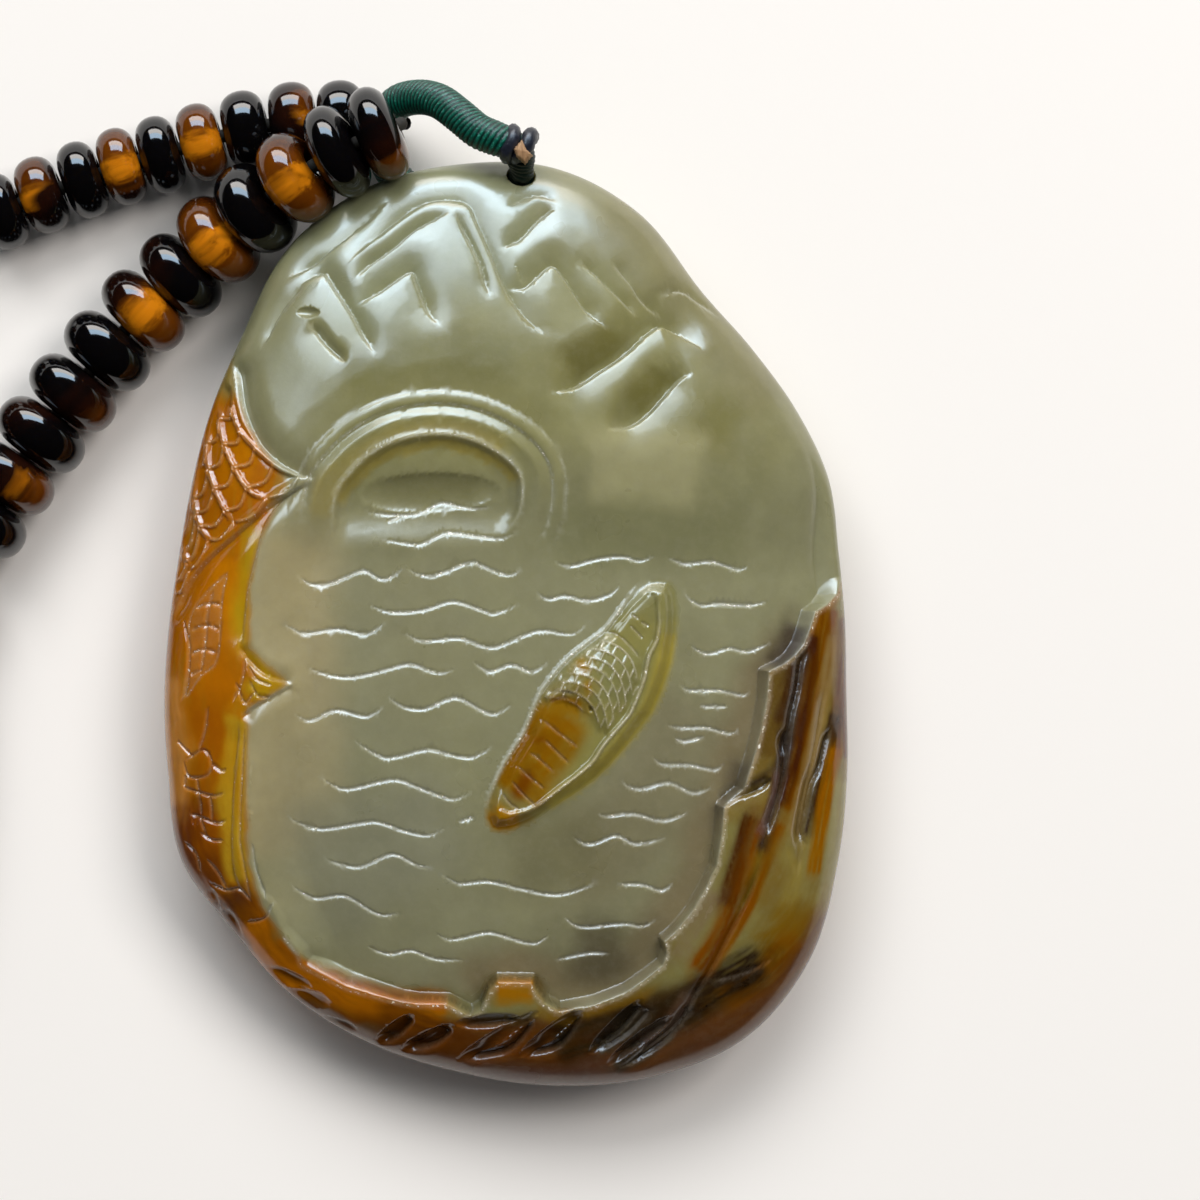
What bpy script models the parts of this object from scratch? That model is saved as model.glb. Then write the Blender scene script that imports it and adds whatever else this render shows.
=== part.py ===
"""A river-worn jade pebble, carved on its front with a landscape.

It hangs from a short whipped cord bail on a bead necklace. The stone lies on its
back: X is to the right, Y is up the picture and Z is away from the table. The
origin is on the table, under the middle of the stone.
"""

import math

import bmesh
import bpy
import numpy as np
from mathutils import Vector

MM = 0.001

# Stone.
STONE_LENGTH = 54.7 * MM
STONE_THICKNESS = 11.0 * MM
EQUATOR_SHARE = 0.46
BACK_SPOT_DEPTH = 0.12 * MM
FRONT_FULLNESS = 2.4
BACK_FULLNESS = 2.4

# Bail: a whipped cord, thinner where it goes through the stone.
BAIL_DIAMETER = 2.1 * MM
BAIL_DIAMETER_IN_HOLE = 1.3 * MM
BINDING_WALL = 0.22 * MM
BINDING_CLEARANCES = (0.34 * MM, 0.14 * MM)

# Beads and the thread through them.
BEAD_DIAMETER_LOWER = 5.8 * MM
BEAD_DIAMETER_UPPER = 4.8 * MM
BEAD_BORE = 1.6 * MM
BEAD_GAP = 0.25 * MM
THREAD_DIAMETER = 0.8 * MM
NECKLACE_LENGTH = 457.0 * MM

# How finely the stone is cut into facets.
STONE_GRID = 200
STONE_FACETS = 5300

# Everything is drawn in units of its own, 54.7 of them to the stone's length, so
# that the carving, the bail and the strands keep their places on a longer stone.
UNIT = STONE_LENGTH / 54.7

# Bail hole through the top rim.
HOLE_DIAMETER = 1.9 * MM
HOLE_FRONT = Vector((0.75 * UNIT, 26.2 * UNIT, 0.60 * STONE_THICKNESS))
HOLE_BACK = Vector((0.25 * UNIT, 24.0 * UNIT, 0.21 * STONE_THICKNESS))

# Distance of the stone's edge from its middle, every 12 degrees from +X.
OUTLINE = (
    20.12, 20.18, 20.96, 21.35, 21.85, 22.92, 25.55, 27.13, 27.33, 27.06,
    25.69, 23.17, 21.54, 20.33, 19.75, 19.91, 20.65, 21.87, 23.74, 24.27,
    25.40, 26.14, 26.72, 27.53, 28.23, 28.36, 26.88, 24.31, 22.16, 20.65,
)

# Ridge lines: a line, how deep the ground falls to it and how far that fall
# reaches. The low ground is on the left of the line as it is drawn.
MOUNTAINS = (
    (((-13.5, 20.0), (-11.5, 21.2), (-9.0, 23.1), (-7.3, 24.6), (-6.6, 25.2)), 0.40, 2.2),
    (((-9.9, 20.6), (-8.0, 22.4), (-6.0, 24.1), (-4.6, 24.95), (-3.0, 25.05), (-2.1, 24.7),
      (-1.6, 23.6), (-0.7, 21.5), (0.0, 19.8), (0.9, 18.3), (2.2, 17.1), (3.9, 16.8)), 0.45, 1.6),
    (((-9.0, 19.9), (-8.1, 21.0), (-6.6, 22.1), (-5.2, 23.3), (-3.4, 24.2), (-2.9, 24.5)),
     0.40, 1.0),
    (((-2.9, 24.5), (-2.6, 23.6), (-1.5, 21.3), (-1.1, 19.9), (-0.6, 18.8)), 0.40, 0.9),
    (((-12.6, 19.6), (-11.8, 20.2), (-10.7, 20.65), (-9.9, 19.6), (-8.9, 18.1), (-8.2, 16.8),
      (-7.2, 15.4)), 0.45, 1.6),
    (((-14.4, 16.0), (-13.2, 18.4), (-11.5, 20.3)), 0.25, 1.0),
    (((-9.0, 18.6), (-7.8, 19.2), (-6.8, 19.9), (-5.5, 20.7), (-5.1, 19.9), (-4.4, 18.2),
      (-3.4, 17.1)), 0.50, 2.0),
    (((-11.6, 17.8), (-10.4, 16.3), (-9.1, 15.2)), 0.45, 0.9),
    (((-0.3, 22.0), (0.9, 22.6), (2.0, 23.8), (3.2, 24.7)), 0.40, 1.2),
    (((0.0, 24.4), (1.0, 24.95), (2.2, 25.2), (3.25, 24.75)), 0.15, 0.8),
    (((0.0, 19.75), (1.1, 19.65), (1.8, 20.25), (2.8, 21.05), (3.7, 20.1), (4.9, 18.3),
      (6.5, 17.0)), 0.50, 1.8),
    (((3.9, 21.15), (4.9, 20.9), (6.2, 19.7), (8.1, 17.9)), 0.35, 1.2),
    (((6.2, 21.4), (7.4, 20.05), (8.2, 19.0), (9.6, 18.1)), 0.35, 1.6),
    (((8.9, 19.2), (10.4, 19.65), (11.7, 18.9), (13.0, 17.9)), 0.25, 1.2),
    (((2.4, 13.45), (4.1, 13.85), (5.6, 14.8), (7.2, 15.9), (8.6, 17.2), (9.5, 17.6),
      (11.3, 16.5), (12.6, 15.4)), 0.95, 2.6),
    (((5.8, 11.4), (7.2, 11.55), (8.3, 12.2), (9.4, 13.4), (10.4, 14.6), (11.7, 15.2),
      (13.1, 14.6), (15.1, 13.0)), 0.95, 2.6),
)

BRIDGE = (
    (((1.0, 7.2), (0.7, 8.7), (-1.0, 10.2), (-3.0, 11.0), (-5.0, 11.1), (-7.0, 10.5),
      (-9.0, 9.1), (-10.2, 7.2), (-10.6, 5.6)), 1.05, 2.8),
    (((-11.2, 8.8), (-9.0, 11.05), (-7.7, 12.0), (-5.2, 12.95), (-3.0, 12.95), (-1.0, 12.3),
      (1.0, 11.0), (1.9, 10.2)), 0.28, 0.75),
    (((3.1, 10.7), (1.0, 12.1), (-1.0, 12.95), (-4.0, 13.5), (-7.0, 13.1), (-9.1, 12.1),
      (-10.5, 10.8), (-12.0, 9.5)), 0.22, 0.7),
)

HOUSE = (
    (((-16.2, 14.0), (-15.5, 12.2), (-14.2, 10.4), (-12.6, 9.2), (-11.6, 8.9)), 0.55, 2.2),
    (((-12.4, 7.9), (-14.5, 6.8), (-16.4, 5.3), (-18.0, 3.9), (-18.8, 2.8), (-19.6, 0.4)),
     0.55, 1.6),
)

CLIFFS = (
    (((16.1, -8.0), (16.8, -6.0), (17.2, -4.2), (17.5, -2.2), (17.8, -0.9)), 0.35, 1.2),
    (((14.2, -9.9), (15.0, -9.3), (16.1, -8.0)), 0.45, 0.9),
    (((16.1, -8.2), (16.2, -9.8), (15.4, -12.2), (14.7, -14.6), (13.6, -17.0), (12.9, -19.2),
      (11.4, -21.5), (9.9, -24.2), (7.8, -25.8), (6.2, -26.2)), 0.55, 1.0),
    (((17.8, -12.9), (17.9, -10.8), (18.8, -8.4), (19.2, -5.6), (19.4, -4.0)), 0.40, 0.8),
    (((14.6, -18.0), (16.0, -14.0), (17.2, -10.0), (18.2, -5.5), (19.2, -0.8)), 0.22, 0.9),
    (((12.2, -21.0), (13.6, -20.7), (14.8, -20.2), (16.0, -19.4)), 0.30, 1.0),
)

RIM_CUTS = (
    (((-7.6, -24.9), (-6.4, -24.5), (-5.3, -23.5)), 0.45, 0.8),
    (((-6.0, -25.2), (-4.4, -24.8), (-3.2, -23.8)), 0.50, 1.0),
    (((-3.0, -23.8), (-1.2, -23.8), (0.3, -23.5)), 0.35, 0.7),
    (((-2.7, -25.9), (-0.7, -25.5), (0.9, -24.8), (1.9, -23.2)), 0.55, 1.1),
    (((0.3, -25.6), (2.2, -25.4), (3.9, -24.5), (4.7, -22.8)), 0.55, 1.1),
    (((5.1, -25.5), (6.7, -24.8), (8.0, -23.6), (9.2, -22.2)), 0.50, 1.1),
)

# Oval hollows in the skin: middle, half length, half width, turn, depth.
HOLLOWS = (
    ((-17.3, -17.0), 1.1, 0.40, 95.0, 0.25),
    ((-16.2, -18.2), 1.8, 0.75, 102.0, 0.40),
    ((-12.6, -20.9), 1.6, 0.55, -14.0, 0.40),
    ((-11.9, -22.4), 1.2, 0.50, 5.0, 0.32),
    ((-10.3, -23.7), 1.5, 0.40, -3.0, 0.32),
    ((-11.5, 18.25), 0.7, 0.30, -3.0, 0.25),
)

# Water: cut below the skin and the cliffs around it, and rising gently
# to the hills at its top.
WATER_DEPTH = 1.25
WATER_WALL = 0.5
WATER_BANK = 1.5
WATER_TOP = 11.5
WATER_RISE = 8.5
WATER = (
    (20.5, 3.2), (19.3, 1.6), (18.1, 0.5), (17.5, -1.4), (16.8, -2.2), (15.5, -2.9),
    (15.3, -4.6), (15.1, -6.2), (14.6, -8.2), (14.1, -9.9), (12.75, -10.9), (12.6, -12.8),
    (12.1, -14.7), (10.8, -16.8), (9.3, -18.4), (9.4, -19.9), (8.1, -21.3), (5.4, -22.4),
    (2.1, -22.9), (1.6, -21.2), (-0.7, -21.1), (-1.9, -22.9), (-3.3, -22.5), (-6.0, -22.3),
    (-9.0, -21.5), (-12.0, -20.1), (-13.3, -18.4), (-14.3, -16.1), (-15.3, -13.0),
    (-15.3, -10.5), (-15.1, -7.0), (-15.2, -4.0), (-14.9, -1.5), (-15.2, 1.5), (-14.6, 5.0),
    (-12.9, 8.0), (-12.0, 14.0), (20.5, 14.0),
)

# Boat on the water: its hull, its mat roof and the deck behind that.
BOAT_HEIGHT = 0.60
BOAT_SIDE = 0.9
HULL = (
    (9.9, 2.4), (8.6, 2.5), (7.2, 1.3), (6.0, -0.2), (4.4, -1.6), (3.0, -3.1), (1.9, -4.8),
    (0.8, -7.0), (-0.3, -8.9), (-0.8, -10.8), (-0.8, -11.9), (0.4, -12.1), (3.0, -11.1),
    (6.2, -8.5), (8.9, -5.2), (9.9, -2.8), (10.3, 0.0), (10.2, 1.6),
)
DECK_DEPTH = 0.25
DECK_SIDE = 0.4
DECK = (
    (8.7, 1.6), (7.4, 0.9), (6.3, -0.4), (3.6, -2.9), (2.4, -4.9), (1.3, -7.0), (0.2, -9.0),
    (-0.2, -10.7), (0.6, -11.0), (3.1, -9.5), (6.0, -6.9), (7.7, -4.6), (8.8, -1.6), (9.0, 0.4),
)
MAT_HEIGHT = 0.55
MAT_SIDE = 1.9
MAT = (
    (6.0, -0.4), (7.2, -1.0), (8.0, -2.4), (7.9, -4.0), (6.9, -5.9), (5.6, -6.1), (4.4, -4.8),
    (2.4, -4.7), (3.1, -3.2), (4.5, -1.8),
)

# Beads of the two strands: middle and, for the lower strand, from the bail down.
# The upper strand lies on the table. The lower one climbs over the stone's edge.
UPPER_BEADS = (
    (-9.9, 30.1), (-12.75, 30.0), (-15.55, 29.5), (-18.2, 28.75), (-20.65, 28.0),
    (-23.0, 27.3), (-25.3, 26.5), (-27.75, 25.6), (-30.2, 24.6),
)
LOWER_BEADS = (
    (-7.4, 28.8, 7.3), (-9.85, 27.75, 7.2), (-12.35, 26.3, 6.4), (-14.8, 24.6, 5.0),
    (-17.1, 22.84, 3.75), (-19.4, 20.75, 3.05), (-21.65, 18.65, 2.9), (-23.8, 16.25, 2.9),
    (-25.85, 13.75, 2.9), (-27.75, 11.25, 2.9), (-29.6, 8.7, 2.9), (-31.3, 6.1, 2.9),
)

# Bail, from its binding round the thread and back under the stone to the hole.
BAIL_ROUTE = (
    (1.05, 28.25, 8.15), (0.2, 28.5, 8.2), (-0.7, 28.75, 8.05), (-1.6, 29.1, 7.7),
    (-2.7, 29.9, 7.05), (-3.9, 30.85, 6.1), (-5.2, 31.25, 4.9), (-6.5, 30.95, 3.75), (-7.2, 29.8, 3.15),
    (-7.3, 28.2, 2.6), (-6.7, 26.8, 1.8), (-5.4, 25.6, 1.35), (-3.6, 24.6, 1.10),
    (-1.8, 24.0, 1.07), (-0.6, 23.7, 1.10),
)
THREAD_TURN = (
    (-6.15, 29.3, 7.3), (-5.7, 29.5, 6.3), (-5.65, 29.7, 4.2), (-5.75, 29.9, 2.1),
    (-6.6, 30.05, 1.15), (-7.7, 30.1, 1.45), (-8.5, 30.1, 2.3),
)
CORD_END = ((1.00, 28.65), (0.62, 28.05), (1.25, 27.2), (1.70, 27.85))

# The rest of the necklace is put away beside the stone as a doubled strand.
COIL_CENTRE = Vector((-67.8, -6.0)) * MM
COIL_INNER = 27.3 * MM
COIL_OUTER = 33.3 * MM

COLOURS = {
    "jade": ((0.235, 0.225, 0.115), 0.22),
    "bail_green": ((0.010, 0.110, 0.080), 0.55),
    "binding_black": ((0.020, 0.022, 0.028), 0.60),
    "cord_end_tan": ((0.330, 0.200, 0.090), 0.70),
    "thread": ((0.030, 0.020, 0.015), 0.70),
    "bead_dark": ((0.012, 0.008, 0.007), 0.08),
    "bead_amber": ((0.330, 0.110, 0.010), 0.08),
}


def clear_scene():
    for thing in list(bpy.data.objects):
        bpy.data.objects.remove(thing, do_unlink=True)


def material(name):
    made = bpy.data.materials.get(name)
    if made:
        return made
    colour, roughness = COLOURS[name]
    made = bpy.data.materials.new(name)
    made.use_nodes = True
    shader = made.node_tree.nodes["Principled BSDF"]
    shader.inputs["Base Color"].default_value = (*colour, 1.0)
    shader.inputs["Roughness"].default_value = roughness
    shader.inputs["Metallic"].default_value = 0.0
    return made


def add_mesh(name, points, faces, slot):
    mesh = bpy.data.meshes.new(name)
    mesh.from_pydata([tuple(p) for p in points], [], faces)
    work = bmesh.new()
    work.from_mesh(mesh)
    bmesh.ops.recalc_face_normals(work, faces=work.faces)
    work.to_mesh(mesh)
    work.free()
    mesh.materials.append(material(slot))
    made = bpy.data.objects.new(name, mesh)
    bpy.context.collection.objects.link(made)
    return made


def ease(value):
    value = np.clip(value, 0.0, 1.0)
    return value * value * (3.0 - 2.0 * value)


def edge_distance(turn):
    """Distance of the stone's edge from its middle at an angle, in drawing units."""
    count = len(OUTLINE)
    place = np.mod(turn / (2.0 * math.pi) * count, count)
    index = np.floor(place).astype(int)
    share = place - index
    radii = np.array(OUTLINE)
    before, start = radii[(index - 1) % count], radii[index % count]
    end, after = radii[(index + 1) % count], radii[(index + 2) % count]
    lean = 0.5 * (end - before)
    lean_end = 0.5 * (after - start)
    rise = end - start
    return start + share * (lean + share * (
        3.0 * rise - 2.0 * lean - lean_end + share * (lean + lean_end - 2.0 * rise)))


def smooth_line(points, steps=4):
    """A drawn line with its corners eased, still through every point of it."""
    pts = np.array(points, dtype=float)
    before = np.vstack([2.0 * pts[0] - pts[1], pts])[:-2]
    after = np.vstack([pts, 2.0 * pts[-1] - pts[-2]])[2:]
    start, end = pts[:-1], pts[1:]
    shares = np.arange(steps) / steps
    line = []
    for b, s, e, a in zip(before, start, end, after):
        lean, lean_end, rise = 0.5 * (e - b), 0.5 * (a - s), e - s
        for t in shares:
            line.append(s + t * (lean + t * (
                3.0 * rise - 2.0 * lean - lean_end + t * (lean + lean_end - 2.0 * rise))))
    line.append(pts[-1])
    return np.array(line)


def follow(line, x, y):
    """Distance of each point from a line, which side of it, and how far along."""
    steps = np.diff(line, axis=0)
    lengths = np.hypot(steps[:, 0], steps[:, 1])
    passed = np.concatenate([[0.0], np.cumsum(lengths)])
    nearest = np.full(x.shape, 1e9)
    side = np.ones(x.shape)
    along = np.zeros(x.shape)
    for start, step, length, walked in zip(line[:-1], steps, lengths, passed):
        away_x, away_y = x - start[0], y - start[1]
        share = np.clip((away_x * step[0] + away_y * step[1]) / length ** 2, 0.0, 1.0)
        gap = np.hypot(away_x - share * step[0], away_y - share * step[1])
        closer = gap < nearest
        nearest = np.where(closer, gap, nearest)
        side = np.where(closer, np.sign(step[0] * away_y - step[1] * away_x), side)
        along = np.where(closer, (walked + share * length) / passed[-1], along)
    return nearest, side, along


def inside(shape, x, y):
    """How far each point is inside a closed outline; less than 0 outside it."""
    ring = np.array(shape + shape[:1], dtype=float)
    within = np.zeros(x.shape, dtype=bool)
    for (ax, ay), (bx, by) in zip(ring[:-1], ring[1:]):
        if ay == by:
            continue
        crosses = (ay > y) != (by > y)
        within ^= crosses & (x < ax + (y - ay) * (bx - ax) / (by - ay))
    gap, _, _ = follow(ring, x, y)
    return np.where(within, gap, -gap)


def cut_ridge(height, x, y, points, drop, reach, bevel=0.35):
    """Ground that falls to a line from its left and stands up sharply on its right."""
    line = smooth_line(points)
    low, high = line.min(axis=0) - reach, line.max(axis=0) + reach
    near = (x > low[0]) & (x < high[0]) & (y > low[1]) & (y < high[1])
    gap, side, along = follow(line, x[near], y[near])
    ends = ease(np.minimum(along, 1.0 - along) / 0.14)
    fall = np.clip(1.0 - gap / reach, 0.0, 1.0) ** 1.7
    wall = np.clip(1.0 - gap / bevel, 0.0, 1.0)
    height[near] -= drop * ends * np.where(side > 0, fall, wall)


def cut_hollow(height, x, y, middle, length, width, turn, depth):
    angle = math.radians(turn)
    away_x, away_y = x - middle[0], y - middle[1]
    u = (away_x * math.cos(angle) + away_y * math.sin(angle)) / length
    v = (away_y * math.cos(angle) - away_x * math.sin(angle)) / width
    height -= depth * np.clip(1.0 - u * u - v * v, 0.0, 1.0) ** 0.7


def relief(x, y):
    """Depth of the carving over the whole front, in drawing units."""
    height = np.zeros(x.shape)
    wall = WATER_WALL + (WATER_BANK - WATER_WALL) * ease((-9.0 - x) / 4.0)
    basin = ease(inside(WATER, x, y) / wall) * ease((WATER_TOP - y) / WATER_RISE)
    height -= WATER_DEPTH * basin
    for group in (MOUNTAINS, BRIDGE, HOUSE, CLIFFS, RIM_CUTS):
        for points, drop, reach in group:
            cut_ridge(height, x, y, points, drop, reach)
    for hollow in HOLLOWS:
        cut_hollow(height, x, y, *hollow)
    height += BOAT_HEIGHT * ease(inside(HULL, x, y) / BOAT_SIDE)
    height -= DECK_DEPTH * ease(inside(DECK, x, y) / DECK_SIDE)
    height += MAT_HEIGHT * ease(inside(MAT, x, y) / MAT_SIDE)
    return height


def stone_sides(cells):
    """Points of the carved front and the plain back on one square grid each."""
    steps = np.linspace(-1.0, 1.0, cells + 1)
    u, v = np.meshgrid(steps, steps, indexing="ij")
    disc_x = u * np.sqrt(1.0 - 0.5 * v * v)
    disc_y = v * np.sqrt(1.0 - 0.5 * u * u)
    reach = np.clip(np.hypot(disc_x, disc_y), 0.0, 1.0)
    turn = np.arctan2(disc_y, disc_x)
    out = np.sin(0.5 * math.pi * reach)
    x = edge_distance(turn) * out * np.cos(turn)
    y = edge_distance(turn) * out * np.sin(turn)

    thickness = STONE_THICKNESS / UNIT
    equator = EQUATOR_SHARE * thickness
    crown = thickness - equator
    dome = np.sqrt(np.clip(1.0 - out ** FRONT_FULLNESS, 0.0, 1.0))
    front = np.stack([x, y, equator + crown * dome], axis=-1)
    across = np.cross(np.gradient(front, axis=0), np.gradient(front, axis=1))
    across /= np.maximum(np.linalg.norm(across, axis=-1, keepdims=True), 1e-9)
    depth = relief(x, y) * ease((1.0 - out) / 0.03)
    front += across * np.minimum(depth, 0.0)[..., None]

    dome = np.sqrt(np.clip(1.0 - out ** BACK_FULLNESS, 0.0, 1.0))
    below = equator - (equator + BACK_SPOT_DEPTH / UNIT) * dome
    back = np.stack([x, y, np.maximum(below, 0.0)], axis=-1)
    return front * UNIT, back * UNIT


def make_stone():
    front, back = stone_sides(STONE_GRID)
    row = STONE_GRID + 1
    points = [Vector(p) for p in front.reshape(-1, 3).tolist()]
    below = {}
    for i in range(1, STONE_GRID):
        for j in range(1, STONE_GRID):
            below[i, j] = len(points)
            points.append(Vector(back[i, j].tolist()))
    faces = []
    for i in range(STONE_GRID):
        for j in range(STONE_GRID):
            ring = ((i, j), (i + 1, j), (i + 1, j + 1), (i, j + 1))
            if (i < STONE_GRID // 2) != (j < STONE_GRID // 2):
                ring = ring[1:] + ring[:1]
            for corners in ((0, 1, 2), (0, 2, 3)):
                face = [ring[c] for c in corners]
                faces.append([a * row + b for a, b in face])
                faces.append([below.get(k, k[0] * row + k[1]) for k in reversed(face)])
    stone = add_mesh("jade_carving", points, faces, "jade")

    thin = stone.modifiers.new("fewer_facets", "DECIMATE")
    thin.ratio = STONE_FACETS / len(faces)

    along = HOLE_FRONT - HOLE_BACK
    bpy.ops.mesh.primitive_cylinder_add(
        vertices=16, radius=0.5 * HOLE_DIAMETER, depth=along.length + 3.0 * HOLE_DIAMETER,
        location=0.5 * (HOLE_FRONT + HOLE_BACK), rotation=along.to_track_quat("Z", "X").to_euler())
    drill = bpy.context.object
    drill.name = "bail_drill"
    drill.display_type = "WIRE"
    drill.hide_render = True
    bore = stone.modifiers.new("bail_hole", "BOOLEAN")
    bore.operation = "DIFFERENCE"
    bore.solver = "EXACT"
    bore.object = drill
    return stone


def frames_along(route, closed=False):
    """Directions across a route that turn with it and do not twist."""
    count = len(route)
    forward = []
    for i, point in enumerate(route):
        ahead = route[(i + 1) % count] if closed or i + 1 < count else point
        behind = route[i - 1] if closed or i > 0 else point
        forward.append((ahead - behind).normalized())
    side = forward[0].orthogonal().normalized()
    sides = [side]
    for before, now in zip(forward[:-1], forward[1:]):
        side = (before.rotation_difference(now) @ side).normalized()
        sides.append(side)
    if closed:
        last = (forward[-1].rotation_difference(forward[0]) @ side).normalized()
        twist = last.angle(sides[0])
        if last.cross(sides[0]).dot(forward[0]) < 0.0:
            twist = -twist
        for i in range(count):
            turn = twist * i / count
            sides[i] = (math.cos(turn) * sides[i]
                        + math.sin(turn) * forward[i].cross(sides[i])).normalized()
    return [(f, s, f.cross(s)) for f, s in zip(forward, sides)]


def add_tube(name, route, radii, slot, sides=8, closed=False):
    points = []
    for point, radius, (_, side, up) in zip(route, radii, frames_along(route, closed)):
        for k in range(sides):
            angle = 2.0 * math.pi * k / sides
            points.append(point + radius * (math.cos(angle) * side + math.sin(angle) * up))
    rings = len(route)
    faces = []
    for i in range(rings if closed else rings - 1):
        for k in range(sides):
            here, there = i * sides, (i + 1) % rings * sides
            nxt = (k + 1) % sides
            faces.append((here + k, here + nxt, there + nxt, there + k))
    if not closed:
        faces.append(tuple(range(sides))[::-1])
        faces.append(tuple((rings - 1) * sides + k for k in range(sides)))
    return add_mesh(name, points, faces, slot)


def add_sleeve(name, route, turns, inner, wall, slot, sides=8):
    """A binding wound round a cord that bends, with an inner radius for each of its rings."""
    points = []
    for point, (_, side, up), radius in zip(route, turns, inner):
        for distance in (radius, radius + wall):
            for k in range(sides):
                angle = 2.0 * math.pi * k / sides
                points.append(point + distance * (math.cos(angle) * side + math.sin(angle) * up))
    rings = len(route)
    faces = []
    for k in range(sides):
        nxt = (k + 1) % sides
        for i in range(rings - 1):
            here, there = 2 * i * sides, 2 * (i + 1) * sides
            faces.append((here + k, there + k, there + nxt, here + nxt))
            faces.append((here + sides + k, here + sides + nxt, there + sides + nxt,
                          there + sides + k))
        last = 2 * (rings - 1) * sides
        faces.append((k, nxt, sides + nxt, sides + k))
        faces.append((last + k, last + sides + k, last + sides + nxt, last + nxt))
    return add_mesh(name, points, faces, slot)


def add_turned(name, profile, centre, axis, slot, sides):
    """A ring turned about an axis from a closed profile of (along, out) pairs."""
    axis = axis.normalized()
    side = axis.orthogonal().normalized()
    up = axis.cross(side)
    count = len(profile)
    points = []
    for k in range(sides):
        angle = 2.0 * math.pi * k / sides
        out = math.cos(angle) * side + math.sin(angle) * up
        for along, distance in profile:
            points.append(centre + along * axis + distance * out)
    faces = []
    for k in range(sides):
        here, there = k * count, (k + 1) % sides * count
        for i in range(count):
            nxt = (i + 1) % count
            faces.append((here + i, here + nxt, there + nxt, there + i))
    return add_mesh(name, points, faces, slot)


def spread(route, spacing):
    """Points along a smooth line through a route, about one spacing apart."""
    line = smooth_line([tuple(p) for p in route], steps=16)
    gaps = np.linalg.norm(np.diff(line, axis=0), axis=1)
    passed = np.concatenate([[0.0], np.cumsum(gaps)])
    count = max(2, int(round(passed[-1] / spacing)) + 1)
    marks = np.linspace(0.0, passed[-1], count)
    return [Vector([float(np.interp(m, passed, line[:, k])) for k in range(3)]) for m in marks]


def make_bail():
    """The whipped cord, as one closed loop through the hole."""
    along = (HOLE_FRONT - HOLE_BACK).normalized()
    top = HOLE_FRONT + 0.5 * MM * along
    foot = HOLE_BACK - 0.35 * MM * along
    outside = [Vector(p) * UNIT for p in BAIL_ROUTE]
    rise = [HOLE_BACK, 0.5 * (HOLE_BACK + HOLE_FRONT), HOLE_FRONT, top]
    loop = outside + [foot] + rise
    line = spread(loop + loop[:1], 0.75 * MM)[:-1]
    full, thin = 0.5 * BAIL_DIAMETER, 0.5 * BAIL_DIAMETER_IN_HOLE
    radii = []
    for point in line:
        share = (point - HOLE_BACK).dot(along)
        off_axis = (point - HOLE_BACK - share * along).length
        outside_by = max(-share, share - (HOLE_FRONT - HOLE_BACK).length, off_axis)
        blend = float(ease((outside_by - 0.55 * MM) / (1.1 * MM)))
        radii.append(thin + (full - thin) * blend)
    add_tube("cord_bail", line, radii, "bail_green", sides=8, closed=True)

    start = Vector(BAIL_ROUTE[0]) * UNIT
    beside = sorted(range(len(line)), key=lambda i: (line[i] - start).length)[0]
    wrapped = [(beside + k) % len(line) for k in (1, 2)]
    turns = frames_along(line, closed=True)
    add_sleeve("bail_binding", [line[i] for i in wrapped], [turns[i] for i in wrapped],
               [radii[i] + gap for i, gap in zip(wrapped, BINDING_CLEARANCES)], BINDING_WALL,
               "binding_black")

    low = line[beside].z + full + BINDING_CLEARANCES[0] + BINDING_WALL + 0.12 * MM
    ring = [Vector((x * UNIT, y * UNIT, low + 0.32 * MM)) for x, y in CORD_END]
    middle = sum(ring, Vector()) / len(ring)
    points = ring + [middle + Vector((0, 0, 0.35 * MM)), middle - Vector((0, 0, 0.32 * MM))]
    faces = []
    for k in range(4):
        nxt = (k + 1) % 4
        faces.append((k, nxt, 4))
        faces.append((nxt, k, 5))
    add_mesh("cord_end", points, faces, "cord_end_tan")


def bead_profile(radius, thickness):
    """Half section of a drilled rondelle bead, as (along the bore, out) pairs."""
    bore = 0.5 * BEAD_BORE
    half = 0.5 * thickness
    profile = [(-0.85 * half, bore), (-half, bore + 0.35 * (radius - bore))]
    for angle in (-56.0, 0.0, 56.0):
        turn = math.radians(angle)
        profile.append((0.95 * half * math.sin(turn), radius * (0.50 + 0.50 * math.cos(turn))))
    profile += [(half, bore + 0.35 * (radius - bore)), (0.85 * half, bore)]
    return profile


def make_strand(prefix, centres, radius, dark):
    """Drilled beads along one strand; each is as thick as its neighbours allow."""
    names = []
    for i, centre in enumerate(centres):
        ahead = centres[min(i + 1, len(centres) - 1)]
        behind = centres[max(i - 1, 0)]
        gaps = [(other - centre).length for other in (ahead, behind) if other != centre]
        name = f"{prefix}_bead_{i + 1:02d}"
        add_turned(name, bead_profile(radius, min(gaps) - BEAD_GAP), centre,
                   ahead - behind, "bead_dark" if dark[i] else "bead_amber", sides=10)
        names.append(name)
    return names


def walked(route):
    return sum((b - a).length for a, b in zip(route[:-1], route[1:]))


def coil_route(radius, start, end, step=13.0):
    """Points round the coil at one radius, angles in degrees."""
    count = int(round(abs(start - end) / step)) + 1
    route = []
    for angle in np.radians(np.linspace(start, end, count)):
        route.append(Vector((COIL_CENTRE.x + radius * math.cos(angle),
                             COIL_CENTRE.y + radius * math.sin(angle), 0.0)))
    return route


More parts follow.
